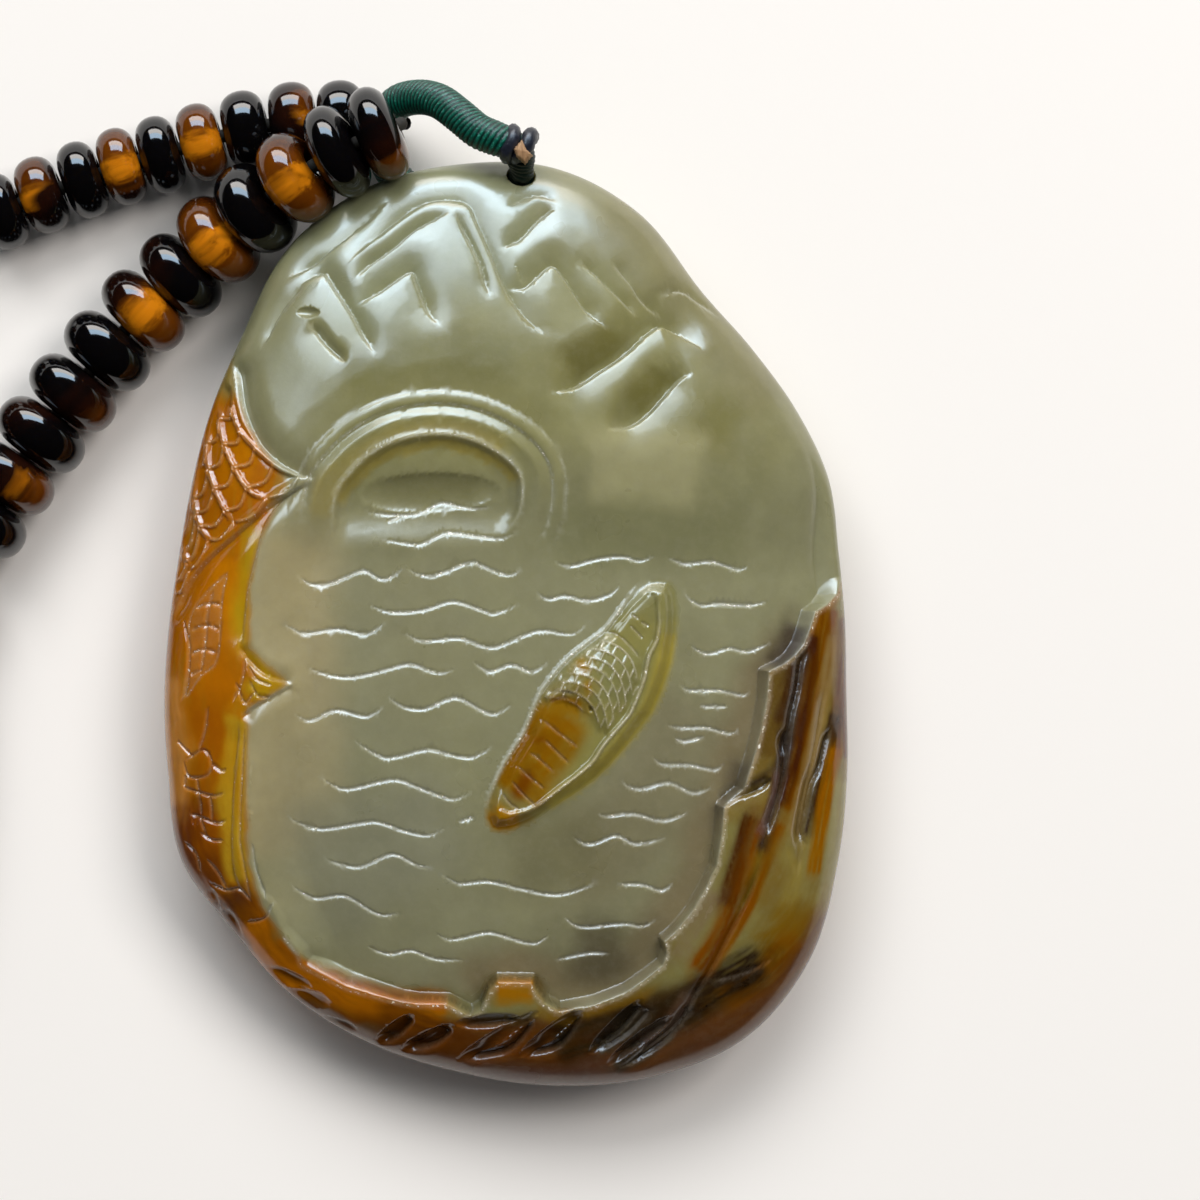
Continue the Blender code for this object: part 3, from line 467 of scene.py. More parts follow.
# Fine lines: the waves on the water, each a scratch that thins out at both ends.
WAVES = (
    ((-8.35, 6.6), (-6.5, 6.4), (-5.0, 6.5), (-4.2, 6.95), (-3.5, 7.1), (-2.2, 6.8),
     (-1.0, 6.8), (-0.7, 7.1)),
    ((-7.0, 6.0), (-6.1, 6.35)),
    ((-7.5, 4.85), (-6.9, 4.9), (-5.3, 4.65), (-4.6, 4.8), (-3.9, 5.15), (-3.2, 5.35),
     (-1.6, 5.15), (-0.2, 5.0), (0.9, 5.4)),
    ((-12.35, 2.9), (-11.8, 2.45), (-11.0, 2.3), (-10.2, 2.45), (-8.6, 3.1), (-8.0, 3.0),
     (-7.4, 2.65), (-6.8, 2.7), (-5.9, 3.35)),
    ((-5.8, 3.3), (-5.2, 2.95), (-4.4, 2.8), (-3.6, 3.0), (-2.0, 3.6), (-1.3, 3.4),
     (0.2, 2.85), (1.2, 3.3)),
    ((-8.3, 1.25), (-6.8, 0.7), (-4.8, 0.8), (-3.0, 1.3), (-1.2, 0.75), (-0.5, 0.6),
     (1.1, 1.25)),
    ((-13.2, 0.1), (-12.6, -0.3), (-11.9, -0.55), (-9.9, -0.3), (-8.2, -0.6), (-7.1, 0.1)),
    ((-6.2, -0.35), (-4.9, -1.0), (-3.0, -0.85), (-2.2, -0.95), (-1.3, -1.3), (-0.4, -1.35),
     (1.4, -0.6), (2.4, -0.4), (4.0, -0.6), (5.0, 0.1)),
    ((-11.9, -2.5), (-11.0, -2.85), (-9.5, -3.15), (-8.0, -2.95), (-6.1, -2.45),
     (-5.3, -2.4), (-3.9, -2.9), (-2.7, -2.6)),
    ((-1.9, -2.2), (-1.3, -2.6), (-0.7, -2.8), (0.4, -2.4), (1.5, -2.8), (2.1, -2.6),
     (2.7, -2.1)),
    ((-7.0, -4.1), (-6.5, -4.6), (-5.6, -5.0), (-4.6, -5.0), (-3.5, -4.5), (-2.6, -4.4),
     (-1.1, -5.2), (-0.4, -5.25), (0.6, -4.6)),
    ((-12.5, -5.3), (-11.9, -5.65), (-11.3, -5.6), (-10.4, -5.15), (-9.6, -5.1),
     (-8.2, -5.45), (-7.1, -4.85)),
    ((-9.0, -6.8), (-8.3, -7.3), (-7.4, -7.8), (-6.6, -7.9), (-4.8, -7.45), (-4.0, -7.5),
     (-2.2, -7.9), (-1.3, -7.6), (-0.4, -7.05)),
    ((-11.0, -9.0), (-10.3, -9.5), (-9.3, -9.8), (-7.2, -9.3), (-6.2, -9.25), (-4.6, -9.85),
     (-3.0, -10.35), (-1.8, -9.85)),
    ((-13.0, -11.3), (-12.4, -11.8), (-11.0, -12.2), (-8.5, -11.8), (-7.5, -11.75),
     (-5.8, -12.3), (-4.4, -12.5), (-3.3, -11.9)),
    ((-10.8, -14.0), (-9.0, -14.45), (-8.0, -14.2), (-6.6, -13.65), (-5.2, -14.3),
     (-4.1, -14.45)),
    ((-4.0, -14.7), (-3.3, -15.1), (-2.6, -15.4), (-1.0, -15.25), (1.0, -15.7), (3.0, -16.05),
     (4.8, -15.6), (5.6, -15.1)),
    ((-12.8, -15.4), (-12.2, -16.0), (-11.3, -16.4), (-9.6, -16.2), (-8.0, -17.1),
     (-7.2, -17.35), (-6.1, -17.2)),
    ((-4.2, -18.3), (-3.3, -18.8), (-1.4, -18.4), (-0.6, -18.4), (1.0, -18.9), (1.9, -18.95),
     (2.8, -18.3)),
    ((-8.4, -19.2), (-7.6, -19.6), (-6.8, -19.75), (-5.6, -19.5), (-4.2, -20.0),
     (-2.4, -20.05)),
    ((2.9, 3.75), (3.3, 3.5), (4.0, 3.4), (5.5, 3.8), (7.0, 3.95), (8.0, 3.7), (9.0, 4.0)),
    ((9.6, 3.9), (10.8, 3.53), (12.4, 3.64), (14.0, 3.2), (14.8, 3.5)),
    ((1.85, 2.0), (2.2, 1.6), (2.8, 1.45), (3.6, 1.65), (5.0, 1.35), (6.4, 1.8), (6.9, 2.4)),
    ((10.7, 1.9), (11.1, 1.4), (11.8, 1.1), (12.8, 1.2), (14.6, 1.1), (16.0, 1.35)),
    ((11.0, -1.2), (11.6, -1.6), (12.3, -1.75), (13.5, -1.45), (14.6, -1.65), (16.1, -1.1)),
    ((10.4, -3.5), (11.0, -3.9), (12.8, -3.9), (14.3, -4.2), (14.8, -3.85)),
    ((11.6, -4.85), (13.4, -4.85)),
    ((9.6, -5.95), (10.4, -6.1), (12.0, -6.1), (13.4, -6.45), (14.2, -6.25)),
    ((10.1, -6.7), (10.7, -6.9), (12.0, -6.65)),
    ((8.8, -7.8), (9.4, -8.25), (11.0, -8.3), (12.5, -8.6), (13.2, -8.2)),
    ((6.8, -9.2), (7.4, -9.6), (8.2, -9.7), (9.8, -9.35), (11.2, -9.95), (12.6, -9.6)),
    ((5.4, -11.1), (6.0, -11.35), (7.6, -11.2), (9.4, -11.6), (11.1, -11.1)),
    ((4.0, -12.5), (4.6, -12.95), (5.4, -12.95), (6.6, -12.5), (7.8, -13.0), (9.7, -12.6)),
    ((6.6, -15.4), (8.2, -15.45), (9.3, -15.8), (10.1, -15.3)),
    ((3.4, -17.3), (4.1, -17.85), (5.0, -18.0), (7.0, -17.8), (8.2, -17.95), (9.1, -17.5)),
    ((3.0, -20.0), (4.9, -19.6), (6.2, -19.6)),
    ((-2.7, -11.7), (-1.8, -11.4)),
)

ROOF_RIBS = (
    ((-16.3, 13.9), (-15.9, 11.8), (-14.7, 10.3), (-13.2, 9.1), (-11.6, 8.6)),
    ((-17.0, 13.2), (-16.8, 11.1), (-16.0, 9.2), (-14.9, 7.7), (-13.6, 7.3)),
    ((-17.6, 11.8), (-17.7, 9.6), (-17.2, 8.0), (-16.3, 6.3), (-15.9, 5.9)),
    ((-18.2, 9.9), (-18.5, 7.4), (-18.1, 5.8), (-17.4, 4.7)),
    ((-18.9, 7.4), (-19.2, 5.0), (-18.9, 3.6), (-18.6, 3.1)),
    ((-19.6, 5.0), (-19.7, 3.0), (-19.5, 1.4)),
)
TILES_ALONG = 5
TILE_SAG = 0.45
TILE_START = 0.7

HOUSE_LINES = (
    ((-18.95, 0.3), (-18.7, -0.8), (-18.6, -1.5), (-18.7, -3.6), (-19.1, -4.6)),
    ((-15.7, -3.4), (-15.2, -4.6), (-14.6, -4.0)),
    ((-15.2, -1.9), (-15.3, -3.2), (-15.9, -4.6)),
    ((-15.0, -2.4), (-14.5, -3.2), (-13.6, -3.6)),
    ((-14.9, -3.3), (-14.4, -4.2), (-13.7, -4.3)),
    ((-14.9, -16.5), (-15.4, -13.5), (-15.5, -12.0), (-15.2, -6.0)),
    ((-14.0, -16.2), (-14.6, -14.4), (-14.8, -12.8)),
    ((-18.9, -8.1), (-18.6, -9.0), (-17.5, -8.9), (-17.2, -8.1), (-17.7, -7.4), (-18.9, -8.1)),
    ((-18.0, -7.5), (-17.6, -6.3), (-17.4, -4.9)),
    ((-18.3, -7.9), (-18.9, -7.3), (-19.3, -6.9)),
    ((-17.2, -8.2), (-16.6, -8.6), (-16.3, -8.5)),
    ((-19.0, -9.6), (-18.0, -9.9), (-17.1, -10.1), (-16.4, -9.9)),
    ((-18.6, -11.2), (-17.8, -11.4), (-16.9, -11.7), (-16.3, -11.5)),
    ((-18.1, -9.0), (-18.0, -9.9), (-17.9, -11.3)),
    ((-17.3, -10.1), (-17.2, -10.9), (-17.2, -11.6)),
    ((-18.8, -8.9), (-18.9, -9.6)),
    ((-17.9, -11.4), (-17.5, -12.6)),
    ((-17.9, -12.3), (-17.2, -12.7), (-16.5, -12.7)),
    ((-17.5, -13.9), (-16.9, -14.6), (-16.4, -15.6)),
    ((-18.9, -12.9), (-18.2, -13.6), (-18.0, -14.6)),
    ((-17.4, -15.3), (-16.4, -15.7), (-15.6, -15.6), (-14.9, -16.3)),
    ((-13.6, -16.3), (-14.1, -17.3), (-15.2, -17.6)),
)
WINDOW = (
    (-16.2, 3.0), (-16.55, 1.66), (-16.66, -0.16), (-16.9, -2.2), (-17.9, -3.1), (-18.8, -4.24),
    (-18.55, -1.9), (-18.6, -0.16), (-18.25, 0.97), (-17.3, 2.0),
)
WINDOW_SIDE = 0.12
WINDOW_DEPTH = 0.06
WINDOW_FROST = 0.16
WINDOW_BARS = (
    ((-18.2, 0.9), (-17.4, 1.2), (-16.6, 1.1)), ((-18.5, -0.4), (-17.6, -0.1), (-16.7, -0.3)),
    ((-18.5, -1.8), (-17.7, -1.5), (-16.9, -1.7)), ((-18.5, -3.0), (-17.8, -2.7)),
    ((-17.1, 2.0), (-17.5, 0.6), (-17.6, -1.0), (-17.9, -2.9)),
)
BEADED_EDGE = ((-15.05, -7.9), (-14.95, -8.9), (-15.05, -9.9), (-15.0, -11.2))
DROPS = 7
DROP_SIZE = (0.26, 0.20)
DROP_TURN = 70.0
DROP_RISE = 0.16

BOAT_LINES = (
    ((2.19, -5.57), (3.10, -6.30), (4.37, -7.26)),
    ((2.37, -6.78), (3.10, -7.51), (3.82, -8.17)),
    ((1.46, -7.51), (2.13, -7.99), (2.91, -8.71)),
    ((0.74, -8.29), (1.40, -8.90), (2.37, -9.68)),
    ((0.44, -9.20), (1.16, -10.05), (1.95, -10.77)),
    ((-0.11, -9.93), (0.32, -10.53), (0.92, -10.89)),
    ((7.51, 0.53), (7.93, 0.29)),
    ((8.05, 0.11), (8.54, -0.13)),
    ((7.39, -0.07), (8.17, -0.86)),
    ((5.94, -0.55), (6.48, -0.55), (7.09, -0.98), (7.57, -1.46), (7.93, -1.94)),
    ((2.55, -4.06), (3.34, -3.94), (4.06, -4.06)),
    ((2.67, -4.60), (3.22, -4.36), (3.82, -4.36)),
)


def ease(value):
    value = np.clip(value, 0.0, 1.0)
    return value * value * (3.0 - 2.0 * value)


def edge_distance(turn):
    """Distance from the middle to the stone's edge at each angle."""
    count = len(OUTLINE)
    place = np.mod(turn / (2.0 * math.pi) * count, count)
    index = np.floor(place).astype(int)
    share = place - index
    radii = np.array(OUTLINE)
    before, start = radii[(index - 1) % count], radii[index % count]
    end, after = radii[(index + 1) % count], radii[(index + 2) % count]
    lean = 0.5 * (end - before)
    lean_end = 0.5 * (after - start)
    rise = end - start
    return start + share * (lean + share * (
        3.0 * rise - 2.0 * lean - lean_end + share * (lean + lean_end - 2.0 * rise)))


def smooth_line(points, steps=4):
    """A drawn line with its corners eased, still through every point of it."""
    pts = np.array(points, dtype=float)
    before = np.vstack([2.0 * pts[0] - pts[1], pts])[:-2]
    after = np.vstack([pts, 2.0 * pts[-1] - pts[-2]])[2:]
    start, end = pts[:-1], pts[1:]
    shares = np.arange(steps) / steps
    line = []
    for b, s, e, a in zip(before, start, end, after):
        lean, lean_end, rise = 0.5 * (e - b), 0.5 * (a - s), e - s
        for t in shares:
            line.append(s + t * (lean + t * (
                3.0 * rise - 2.0 * lean - lean_end + t * (lean + lean_end - 2.0 * rise))))
    line.append(pts[-1])
    return np.array(line)


def follow(line, x, y):
    """Distance of each point from a line, which side of it, and how far along."""
    steps = np.diff(line, axis=0)
    lengths = np.hypot(steps[:, 0], steps[:, 1])
    passed = np.concatenate([[0.0], np.cumsum(lengths)])
    nearest = np.full(x.shape, 1e9)
    side = np.ones(x.shape)
    along = np.zeros(x.shape)
    for start, step, length, walked in zip(line[:-1], steps, lengths, passed):
        away_x, away_y = x - start[0], y - start[1]
        share = np.clip((away_x * step[0] + away_y * step[1]) / length ** 2, 0.0, 1.0)
        gap = np.hypot(away_x - share * step[0], away_y - share * step[1])
        closer = gap < nearest
        nearest = np.where(closer, gap, nearest)
        side = np.where(closer, np.sign(step[0] * away_y - step[1] * away_x), side)
        along = np.where(closer, (walked + share * length) / passed[-1], along)
    return nearest, side, along


def inside(shape, x, y, reach=4.0):
    """How far each point is inside a closed outline; less than 0 outside it."""
    ring = np.array(shape + shape[:1], dtype=float)
    low, high = ring.min(axis=0) - reach, ring.max(axis=0) + reach
    near = (x > low[0]) & (x < high[0]) & (y > low[1]) & (y < high[1])
    depth = np.full(x.shape, -reach)
    px, py = x[near], y[near]
    within = np.zeros(px.shape, dtype=bool)
    for (ax, ay), (bx, by) in zip(ring[:-1], ring[1:]):
        if ay == by:
            continue
        crosses = (ay > py) != (by > py)
        within ^= crosses & (px < ax + (py - ay) * (bx - ax) / (by - ay))
    gap, _, _ = follow(ring, px, py)
    depth[near] = np.where(within, gap, -gap)
    return depth


class Carving:
    """Height, and frosting with painted shine, of the stone's front at a set of points, in
    millimetres.
    """

    def __init__(self, x, y):
        self.x, self.y = x, y
        self.height = np.zeros(x.shape)
        self.frost_and_shine = np.zeros(x.shape)

    def near(self, line, reach):
        low, high = line.min(axis=0) - reach, line.max(axis=0) + reach
        x, y = self.x, self.y
        return np.nonzero((x > low[0]) & (x < high[0]) & (y > low[1]) & (y < high[1]))

    def ridge(self, points, drop, reach, rounding, frost_and_shine, taper):
        """A crest: ground falls to the line from its left, its right rounds over to it."""
        line = smooth_line(points)
        near = self.near(line, max(reach, rounding))
        gap, side, along = follow(line, self.x[near], self.y[near])
        ends = ease(np.minimum(along, 1.0 - along) / taper)
        behind = np.clip(1.0 - gap / reach, 0.0, 1.0) ** RIDGE_FALL
        crest = (CREST_SHARES[0] * ease(1.0 - gap / CREST_BEVEL)
                 + CREST_SHARES[1] * np.clip(1.0 - gap / rounding, 0.0, 1.0) ** 2)
        self.height[near] -= drop * ends * np.where(side > 0, behind, crest)
        # The whitened line along the crest is partly frosting and partly painted highlight.
        edge = np.clip(1.0 - np.abs(gap - CREST_LINE) / CREST_LINE_WIDTH, 0.0, 1.0)
        edge = ends * edge * (side < 0)
        self.frost_and_shine[near] = np.maximum(self.frost_and_shine[near], frost_and_shine * edge)

    def groove(self, points, depth, width, frost_and_shine, taper):
        """A cut along a line that gets shallow and thin at both its ends."""
        line = smooth_line(points)
        near = self.near(line, 1.6 * width)
        gap, _, along = follow(line, self.x[near], self.y[near])
        ends = np.sqrt(ease(np.minimum(along, 1.0 - along) / taper))
        wide = width * (0.35 + 0.65 * ends)
        cut = np.exp(-(gap / (0.6 * wide)) ** 2)
        self.height[near] -= depth * ends * cut
        self.frost_and_shine[near] = np.maximum(self.frost_and_shine[near], frost_and_shine * ends * cut)

    def rib(self, points, rise, width, frost_and_shine, taper):
        """A raised line with a round top, lower at both its ends."""
        line = smooth_line(points)
        near = self.near(line, 2.0 * width)
        gap, _, along = follow(line, self.x[near], self.y[near])
        ends = ease(np.minimum(along, 1.0 - along) / taper)
        top = ease(1.5 - gap / width)
        self.height[near] += rise * ends * top
        self.frost_and_shine[near] = np.maximum(self.frost_and_shine[near], frost_and_shine * ends * top)

    def hollow(self, middle, length, width, turn, depth):
        """A round-bottomed dip, or a bump where its depth is less than 0."""
        angle = math.radians(turn)
        away_x, away_y = self.x - middle[0], self.y - middle[1]
        u = (away_x * math.cos(angle) + away_y * math.sin(angle)) / length
        v = (away_y * math.cos(angle) - away_x * math.sin(angle)) / width
        bowl = np.clip(1.0 - u * u - v * v, 0.0, 1.0)
        self.height -= depth * bowl ** HOLLOW_POWER


def soft_steps(value, steps, heights, blur=0.05):
    """Heights at steps, joined by straight runs with their corners eased."""
    total = 0.0
    for shift in (-1.5, -0.5, 0.5, 1.5):
        total = total + np.interp(value + shift * blur, steps, heights)
    return total / 4.0


def carve_water(work):
    x, y = work.x, work.y
    lower_left = [ease((start - value) / fade) for start, value, fade
                  in zip(SOFT_WALL_PLACE, (x, y), SOFT_WALL_FADE)]
    wall = WATER_WALL + SOFT_WALL * lower_left[0] * lower_left[1]
    line = smooth_line(LEFT_BANK)
    gap, side, _ = follow(line, x, y)
    bank = ease((BANK_START - side * gap) / WATER_BANK)
    within = inside(WATER, x, y)
    basin = ease(within / wall) * bank * ease((WATER_TOP - y) / WATER_RISE)
    work.height -= WATER_DEPTH * basin
    lip = np.exp(-((within + LIP_WIDTH) / LIP_WIDTH) ** 2)
    lip = lip * (x > LIP_LEFT) * ease(LIP_TOP - y)
    work.height += LIP_RISE * lip
    work.frost_and_shine = np.maximum(work.frost_and_shine, LIP_FROST_AND_SHINE * lip)


def carve_bridge(work):
    line = smooth_line(ARCH)
    near = work.near(line, ARCH_REACH)
    y = work.y[near]
    gap, side, along = follow(line, work.x[near], y)
    outward = side * gap
    ends = ease(np.minimum(along, 1.0 - along) / ARCH_TAPER)
    feet = ease((y - ARCH_FEET[0]) / (ARCH_FEET[1] - ARCH_FEET[0]))
    share = np.where(outward > 0.0, ends, feet)
    work.height[near] += share * soft_steps(outward, ARCH_STEPS, ARCH_HEIGHTS)
    shine = 0.0
    for place, width, amount in ARCH_SHINE:
        shine = np.maximum(shine, amount * np.exp(-((outward - place) / width) ** 2))
    work.frost_and_shine[near] = np.maximum(work.frost_and_shine[near], shine * ends)


def tiles():
    """Curved edges of the roof tiles, hung between each rib and the next."""
    arcs = []
    for first, second in zip(ROOF_RIBS[:-1], ROOF_RIBS[1:]):
        first, second = smooth_line(first), smooth_line(second)
        for k in range(TILES_ALONG):
            share = (k + TILE_START) / TILES_ALONG
            ends = [line[int(share * (len(line) - 1))] for line in (first, second)]
            down = first[-1] - first[0]
            middle = 0.5 * (ends[0] + ends[1]) + TILE_SAG * down / np.linalg.norm(down)
            arcs.append((ends[0], middle, ends[1]))
    return arcs


def carve_house(work):
    x, y = work.x, work.y
    work.height -= ROOF_DEPTH * ease(inside(ROOF, x, y) / ROOF_SIDE)
    for points in ROOF_RIBS:
        work.rib(points, *ROOF_RIB_STYLE)
    for points in tiles():
        work.rib(points, *TILE_STYLE)
    glass = ease(inside(WINDOW, x, y) / WINDOW_SIDE)
    work.height -= WINDOW_DEPTH * glass
    work.frost_and_shine = np.maximum(work.frost_and_shine, WINDOW_FROST * glass)
    for points in WINDOW_BARS:
        work.groove(points, *BAR_STYLE)
    work.groove(WINDOW + WINDOW[:1], *FRAME_STYLE)
    for points in HOUSE_LINES:
        work.groove(points, *HOUSE_LINE_STYLE)
    drops = smooth_line(BEADED_EDGE)
    for k in range(DROPS):
        middle = drops[int(k * (len(drops) - 1) / (DROPS - 1))]
        work.hollow(middle, *DROP_SIZE, DROP_TURN, -DROP_RISE)


def weave():
    """Lines of the mat roof's weave, kept to the roof."""
    axis = np.array(MAT_AXIS)
    across = np.array((MAT_AXIS[1], -MAT_AXIS[0]))

    def strip(ends):
        line = np.array([MAT_CENTRE + (s - MAT_BULGE * (t - MAT_BULGE_MIDDLE) ** 2) * axis
                         + t * across for s, t in ends])
        return line[inside(MAT, line[:, 0], line[:, 1]) > MAT_BORDER]

    lines = []
    for k, row in enumerate(MAT_ROWS):
        lines.append(strip([(row, t) for t in np.linspace(*MAT_WIDTH, 27)]))
        for tie in MAT_TIES:
            tie = tie + TIE_SHIFT * (k % 2)
            lines.append(strip([(row - TIE_LENGTH * share, tie + TIE_LEAN * share)
                                for share in (0, 0.5, 1)]))
    return [line for line in lines if len(line) > 2]


def carve_boat(work):
    x, y = work.x, work.y
    work.height += BOAT_HEIGHT * ease(inside(HULL, x, y) / BOAT_SIDE)
    work.height -= DECK_DEPTH * ease(inside(DECK, x, y) / DECK_SIDE)
    work.height += MAT_HEIGHT * np.sqrt(ease(inside(MAT, x, y) / MAT_SIDE))
    work.rib(GUNWALE, *GUNWALE_STYLE)
    work.rib(INNER_RIM, *INNER_RIM_STYLE)
    for points in BOAT_LINES:
        work.groove(points, *BOAT_LINE_STYLE)
    for points in weave():
        work.rib(points, *WEAVE_STYLE)
    work.hollow(*MAT_HOLE)


def carve(x, y):
    """Everything that is carved on the front, in the order that it is cut."""
    work = Carving(x, y)
    carve_water(work)
    for group, frost_and_shine, taper in RIDGES:
        for points, drop, reach, rounding in group:
            work.ridge(points, drop, reach, rounding, frost_and_shine, taper)
    for points, _, _, _ in RIM_CUTS:
        (ax, ay), (bx, by) = points[0], points[-1]
        turn = math.degrees(math.atan2(by - ay, bx - ax))
        middle = (0.5 * (ax + bx) + LEAF_SHIFT[0], 0.5 * (ay + by) + LEAF_SHIFT[1])
        length = LEAF_LENGTH * math.hypot(bx - ax, by - ay)
        work.hollow(middle, length, LEAF_WIDTH, turn, LEAF_DEPTH)
    carve_bridge(work)
    carve_house(work)
    for spot in HOLLOWS:
        work.hollow(*spot)
    carve_boat(work)
    for points in WAVES:
        work.groove(points, *WAVE_STYLE)
    return work


# A fine skin for the stone: small facets only where the carving needs them.

STONE_CELLS = 1024
FACET_ERROR = 0.0075
MOST_FACETS = 196000
WIDEST_FRONT = 8
WIDEST_PAINTED = 4
WIDEST_BACK = 32
RIM_BLEND = 0.03
RIM_FROST_AND_SHINE_BLEND = 0.02
PAINTED_MARGIN = -0.4
PAINTED_MARGIN_LEFT = -0.8
TOLERANCE_STEP = 1.12


def stone_grids():
    """Points and directions of the carved front and the plain back."""
    steps = np.linspace(-1.0, 1.0, STONE_CELLS + 1)
    u, v = np.meshgrid(steps, steps, indexing="ij")
    disc_x = u * np.sqrt(1.0 - 0.5 * v * v)
    disc_y = v * np.sqrt(1.0 - 0.5 * u * u)
    reach = np.clip(np.hypot(disc_x, disc_y), 0.0, 1.0)
    turn = np.arctan2(disc_y, disc_x)
    out = np.sin(0.5 * math.pi * reach)
    edge = edge_distance(turn)
    x = edge * out * np.cos(turn)
    y = edge * out * np.sin(turn)

    equator = EQUATOR_SHARE * STONE_THICKNESS
    crown = STONE_THICKNESS - CROWN_TRIM - equator
    dome = np.sqrt(np.clip(1.0 - out ** FULLNESS, 0.0, 1.0))
    front = np.stack([x, y, equator + crown * dome], axis=-1)
    across = directions(front)
    work = carve(x, y)
    depth = work.height * ease((1.0 - out) / RIM_BLEND)
    front += across * np.minimum(depth, 0.0)[..., None]
    below = equator - (equator + BACK_SPOT_DEPTH) * dome
    back = np.stack([x, y, np.maximum(below, 0.0)], axis=-1)
    frost_and_shine = work.frost_and_shine * ease((1.0 - out) / RIM_FROST_AND_SHINE_BLEND)

    axis = (HOLE_FRONT - HOLE_BACK) / np.linalg.norm(HOLE_FRONT - HOLE_BACK)
    for side, start, sink in zip((front, back), (HOLE_FRONT, HOLE_BACK), HOLE_SINK):
        away = side - start
        gap = np.linalg.norm(away - (away @ axis)[..., None] * axis, axis=-1)
        close = np.linalg.norm(away, axis=-1) < HOLE_REACH
        pit = np.clip((0.5 * HOLE_DIAMETER + HOLE_MARGIN - gap) / HOLE_EDGE, 0.0, 1.0) * close
        side += sink * pit[..., None] * axis
    return front, back, frost_and_shine, depth


def directions(grid):
    """Unit normals of a grid of points."""
    across = np.cross(np.gradient(grid, axis=0), np.gradient(grid, axis=1))
    return across / np.maximum(np.linalg.norm(across, axis=-1, keepdims=True), 1e-9)


def midpoint_error(points, step):
    """How far each point that halves a facet's long side is from that side."""
    cells = points.shape[0] - 1
    errors = []
    odd = np.arange(step, cells, 2 * step)
    even = np.arange(0, cells + 1, 2 * step)
    for first, second, shift in ((odd, even, (step, 0)), (even, odd, (0, step))):
        i, j = np.meshgrid(first, second, indexing="ij")
        middle = 0.5 * (points[i - shift[0], j - shift[1]] + points[i + shift[0], j + shift[1]])
        errors.append((i, j, np.linalg.norm(points[i, j] - middle, axis=-1)))
    i, j = np.meshgrid(odd, odd, indexing="ij")
    slope = np.where(((i - step) // (2 * step) + (j - step) // (2 * step)) % 2 == 0, 1, -1)
    middle = 0.5 * (points[i - step, j - slope * step] + points[i + step, j + slope * step])
    errors.append((i, j, np.linalg.norm(points[i, j] - middle, axis=-1)))
    return errors


def facet_errors(sides, widest):
    """Error of leaving out each grid point, never less than that of a finer one by it."""
    cells = sides[0].shape[0] - 1
    worst = [np.zeros(side.shape[:2]) for side in sides]
    step = 1
    while step < cells:
        half = step // 2
        found = []
        for error, side, limit in zip(worst, sides, widest):
            kept = [(i, j, np.where(2 * step > limit[i, j], 1.0, raw))
                    for i, j, raw in midpoint_error(side, step)]
            found.append(kept)
            for i, j, raw in kept[:2]:
                value = raw
                if half:
                    for di in (-half, half):
                        for dj in (-half, half):
                            ok = ((i + di >= 0) & (i + di <= cells)
                                  & (j + dj >= 0) & (j + dj <= cells))
                            child = error[np.clip(i + di, 0, cells), np.clip(j + dj, 0, cells)]
                            value = np.maximum(value, np.where(ok, child, 0.0))
                error[i, j] = value
        rim = np.zeros(worst[0].shape, dtype=bool)
        rim[[0, -1], :] = True
        rim[:, [0, -1]] = True
        shared = np.maximum(worst[0], worst[1])
        for error in worst:
            error[rim] = shared[rim]
        for error, kept in zip(worst, found):
            i, j, value = kept[2]
            for di, dj in ((-step, 0), (step, 0), (0, -step), (0, step)):
                value = np.maximum(value, error[i + di, j + dj])
            error[i, j] = value
        step *= 2
    return worst


def facets(error, tolerance):
    """Right triangles, halved wherever the error of leaving a point out is too large."""
    cells = error.shape[0] - 1
    split = error > tolerance
    waiting = [((0, 0), (cells, cells), (cells, 0)), ((cells, cells), (0, 0), (0, cells))]
    done = []
    while waiting:
        a, b, c = waiting.pop()
        middle = ((a[0] + b[0]) // 2, (a[1] + b[1]) // 2)
        if abs(a[0] - c[0]) + abs(a[1] - c[1]) > 1 and split[middle]:
            waiting.append((c, a, middle))
            waiting.append((b, c, middle))
        else:
            done.append((a, b, c))
    return np.array(done)


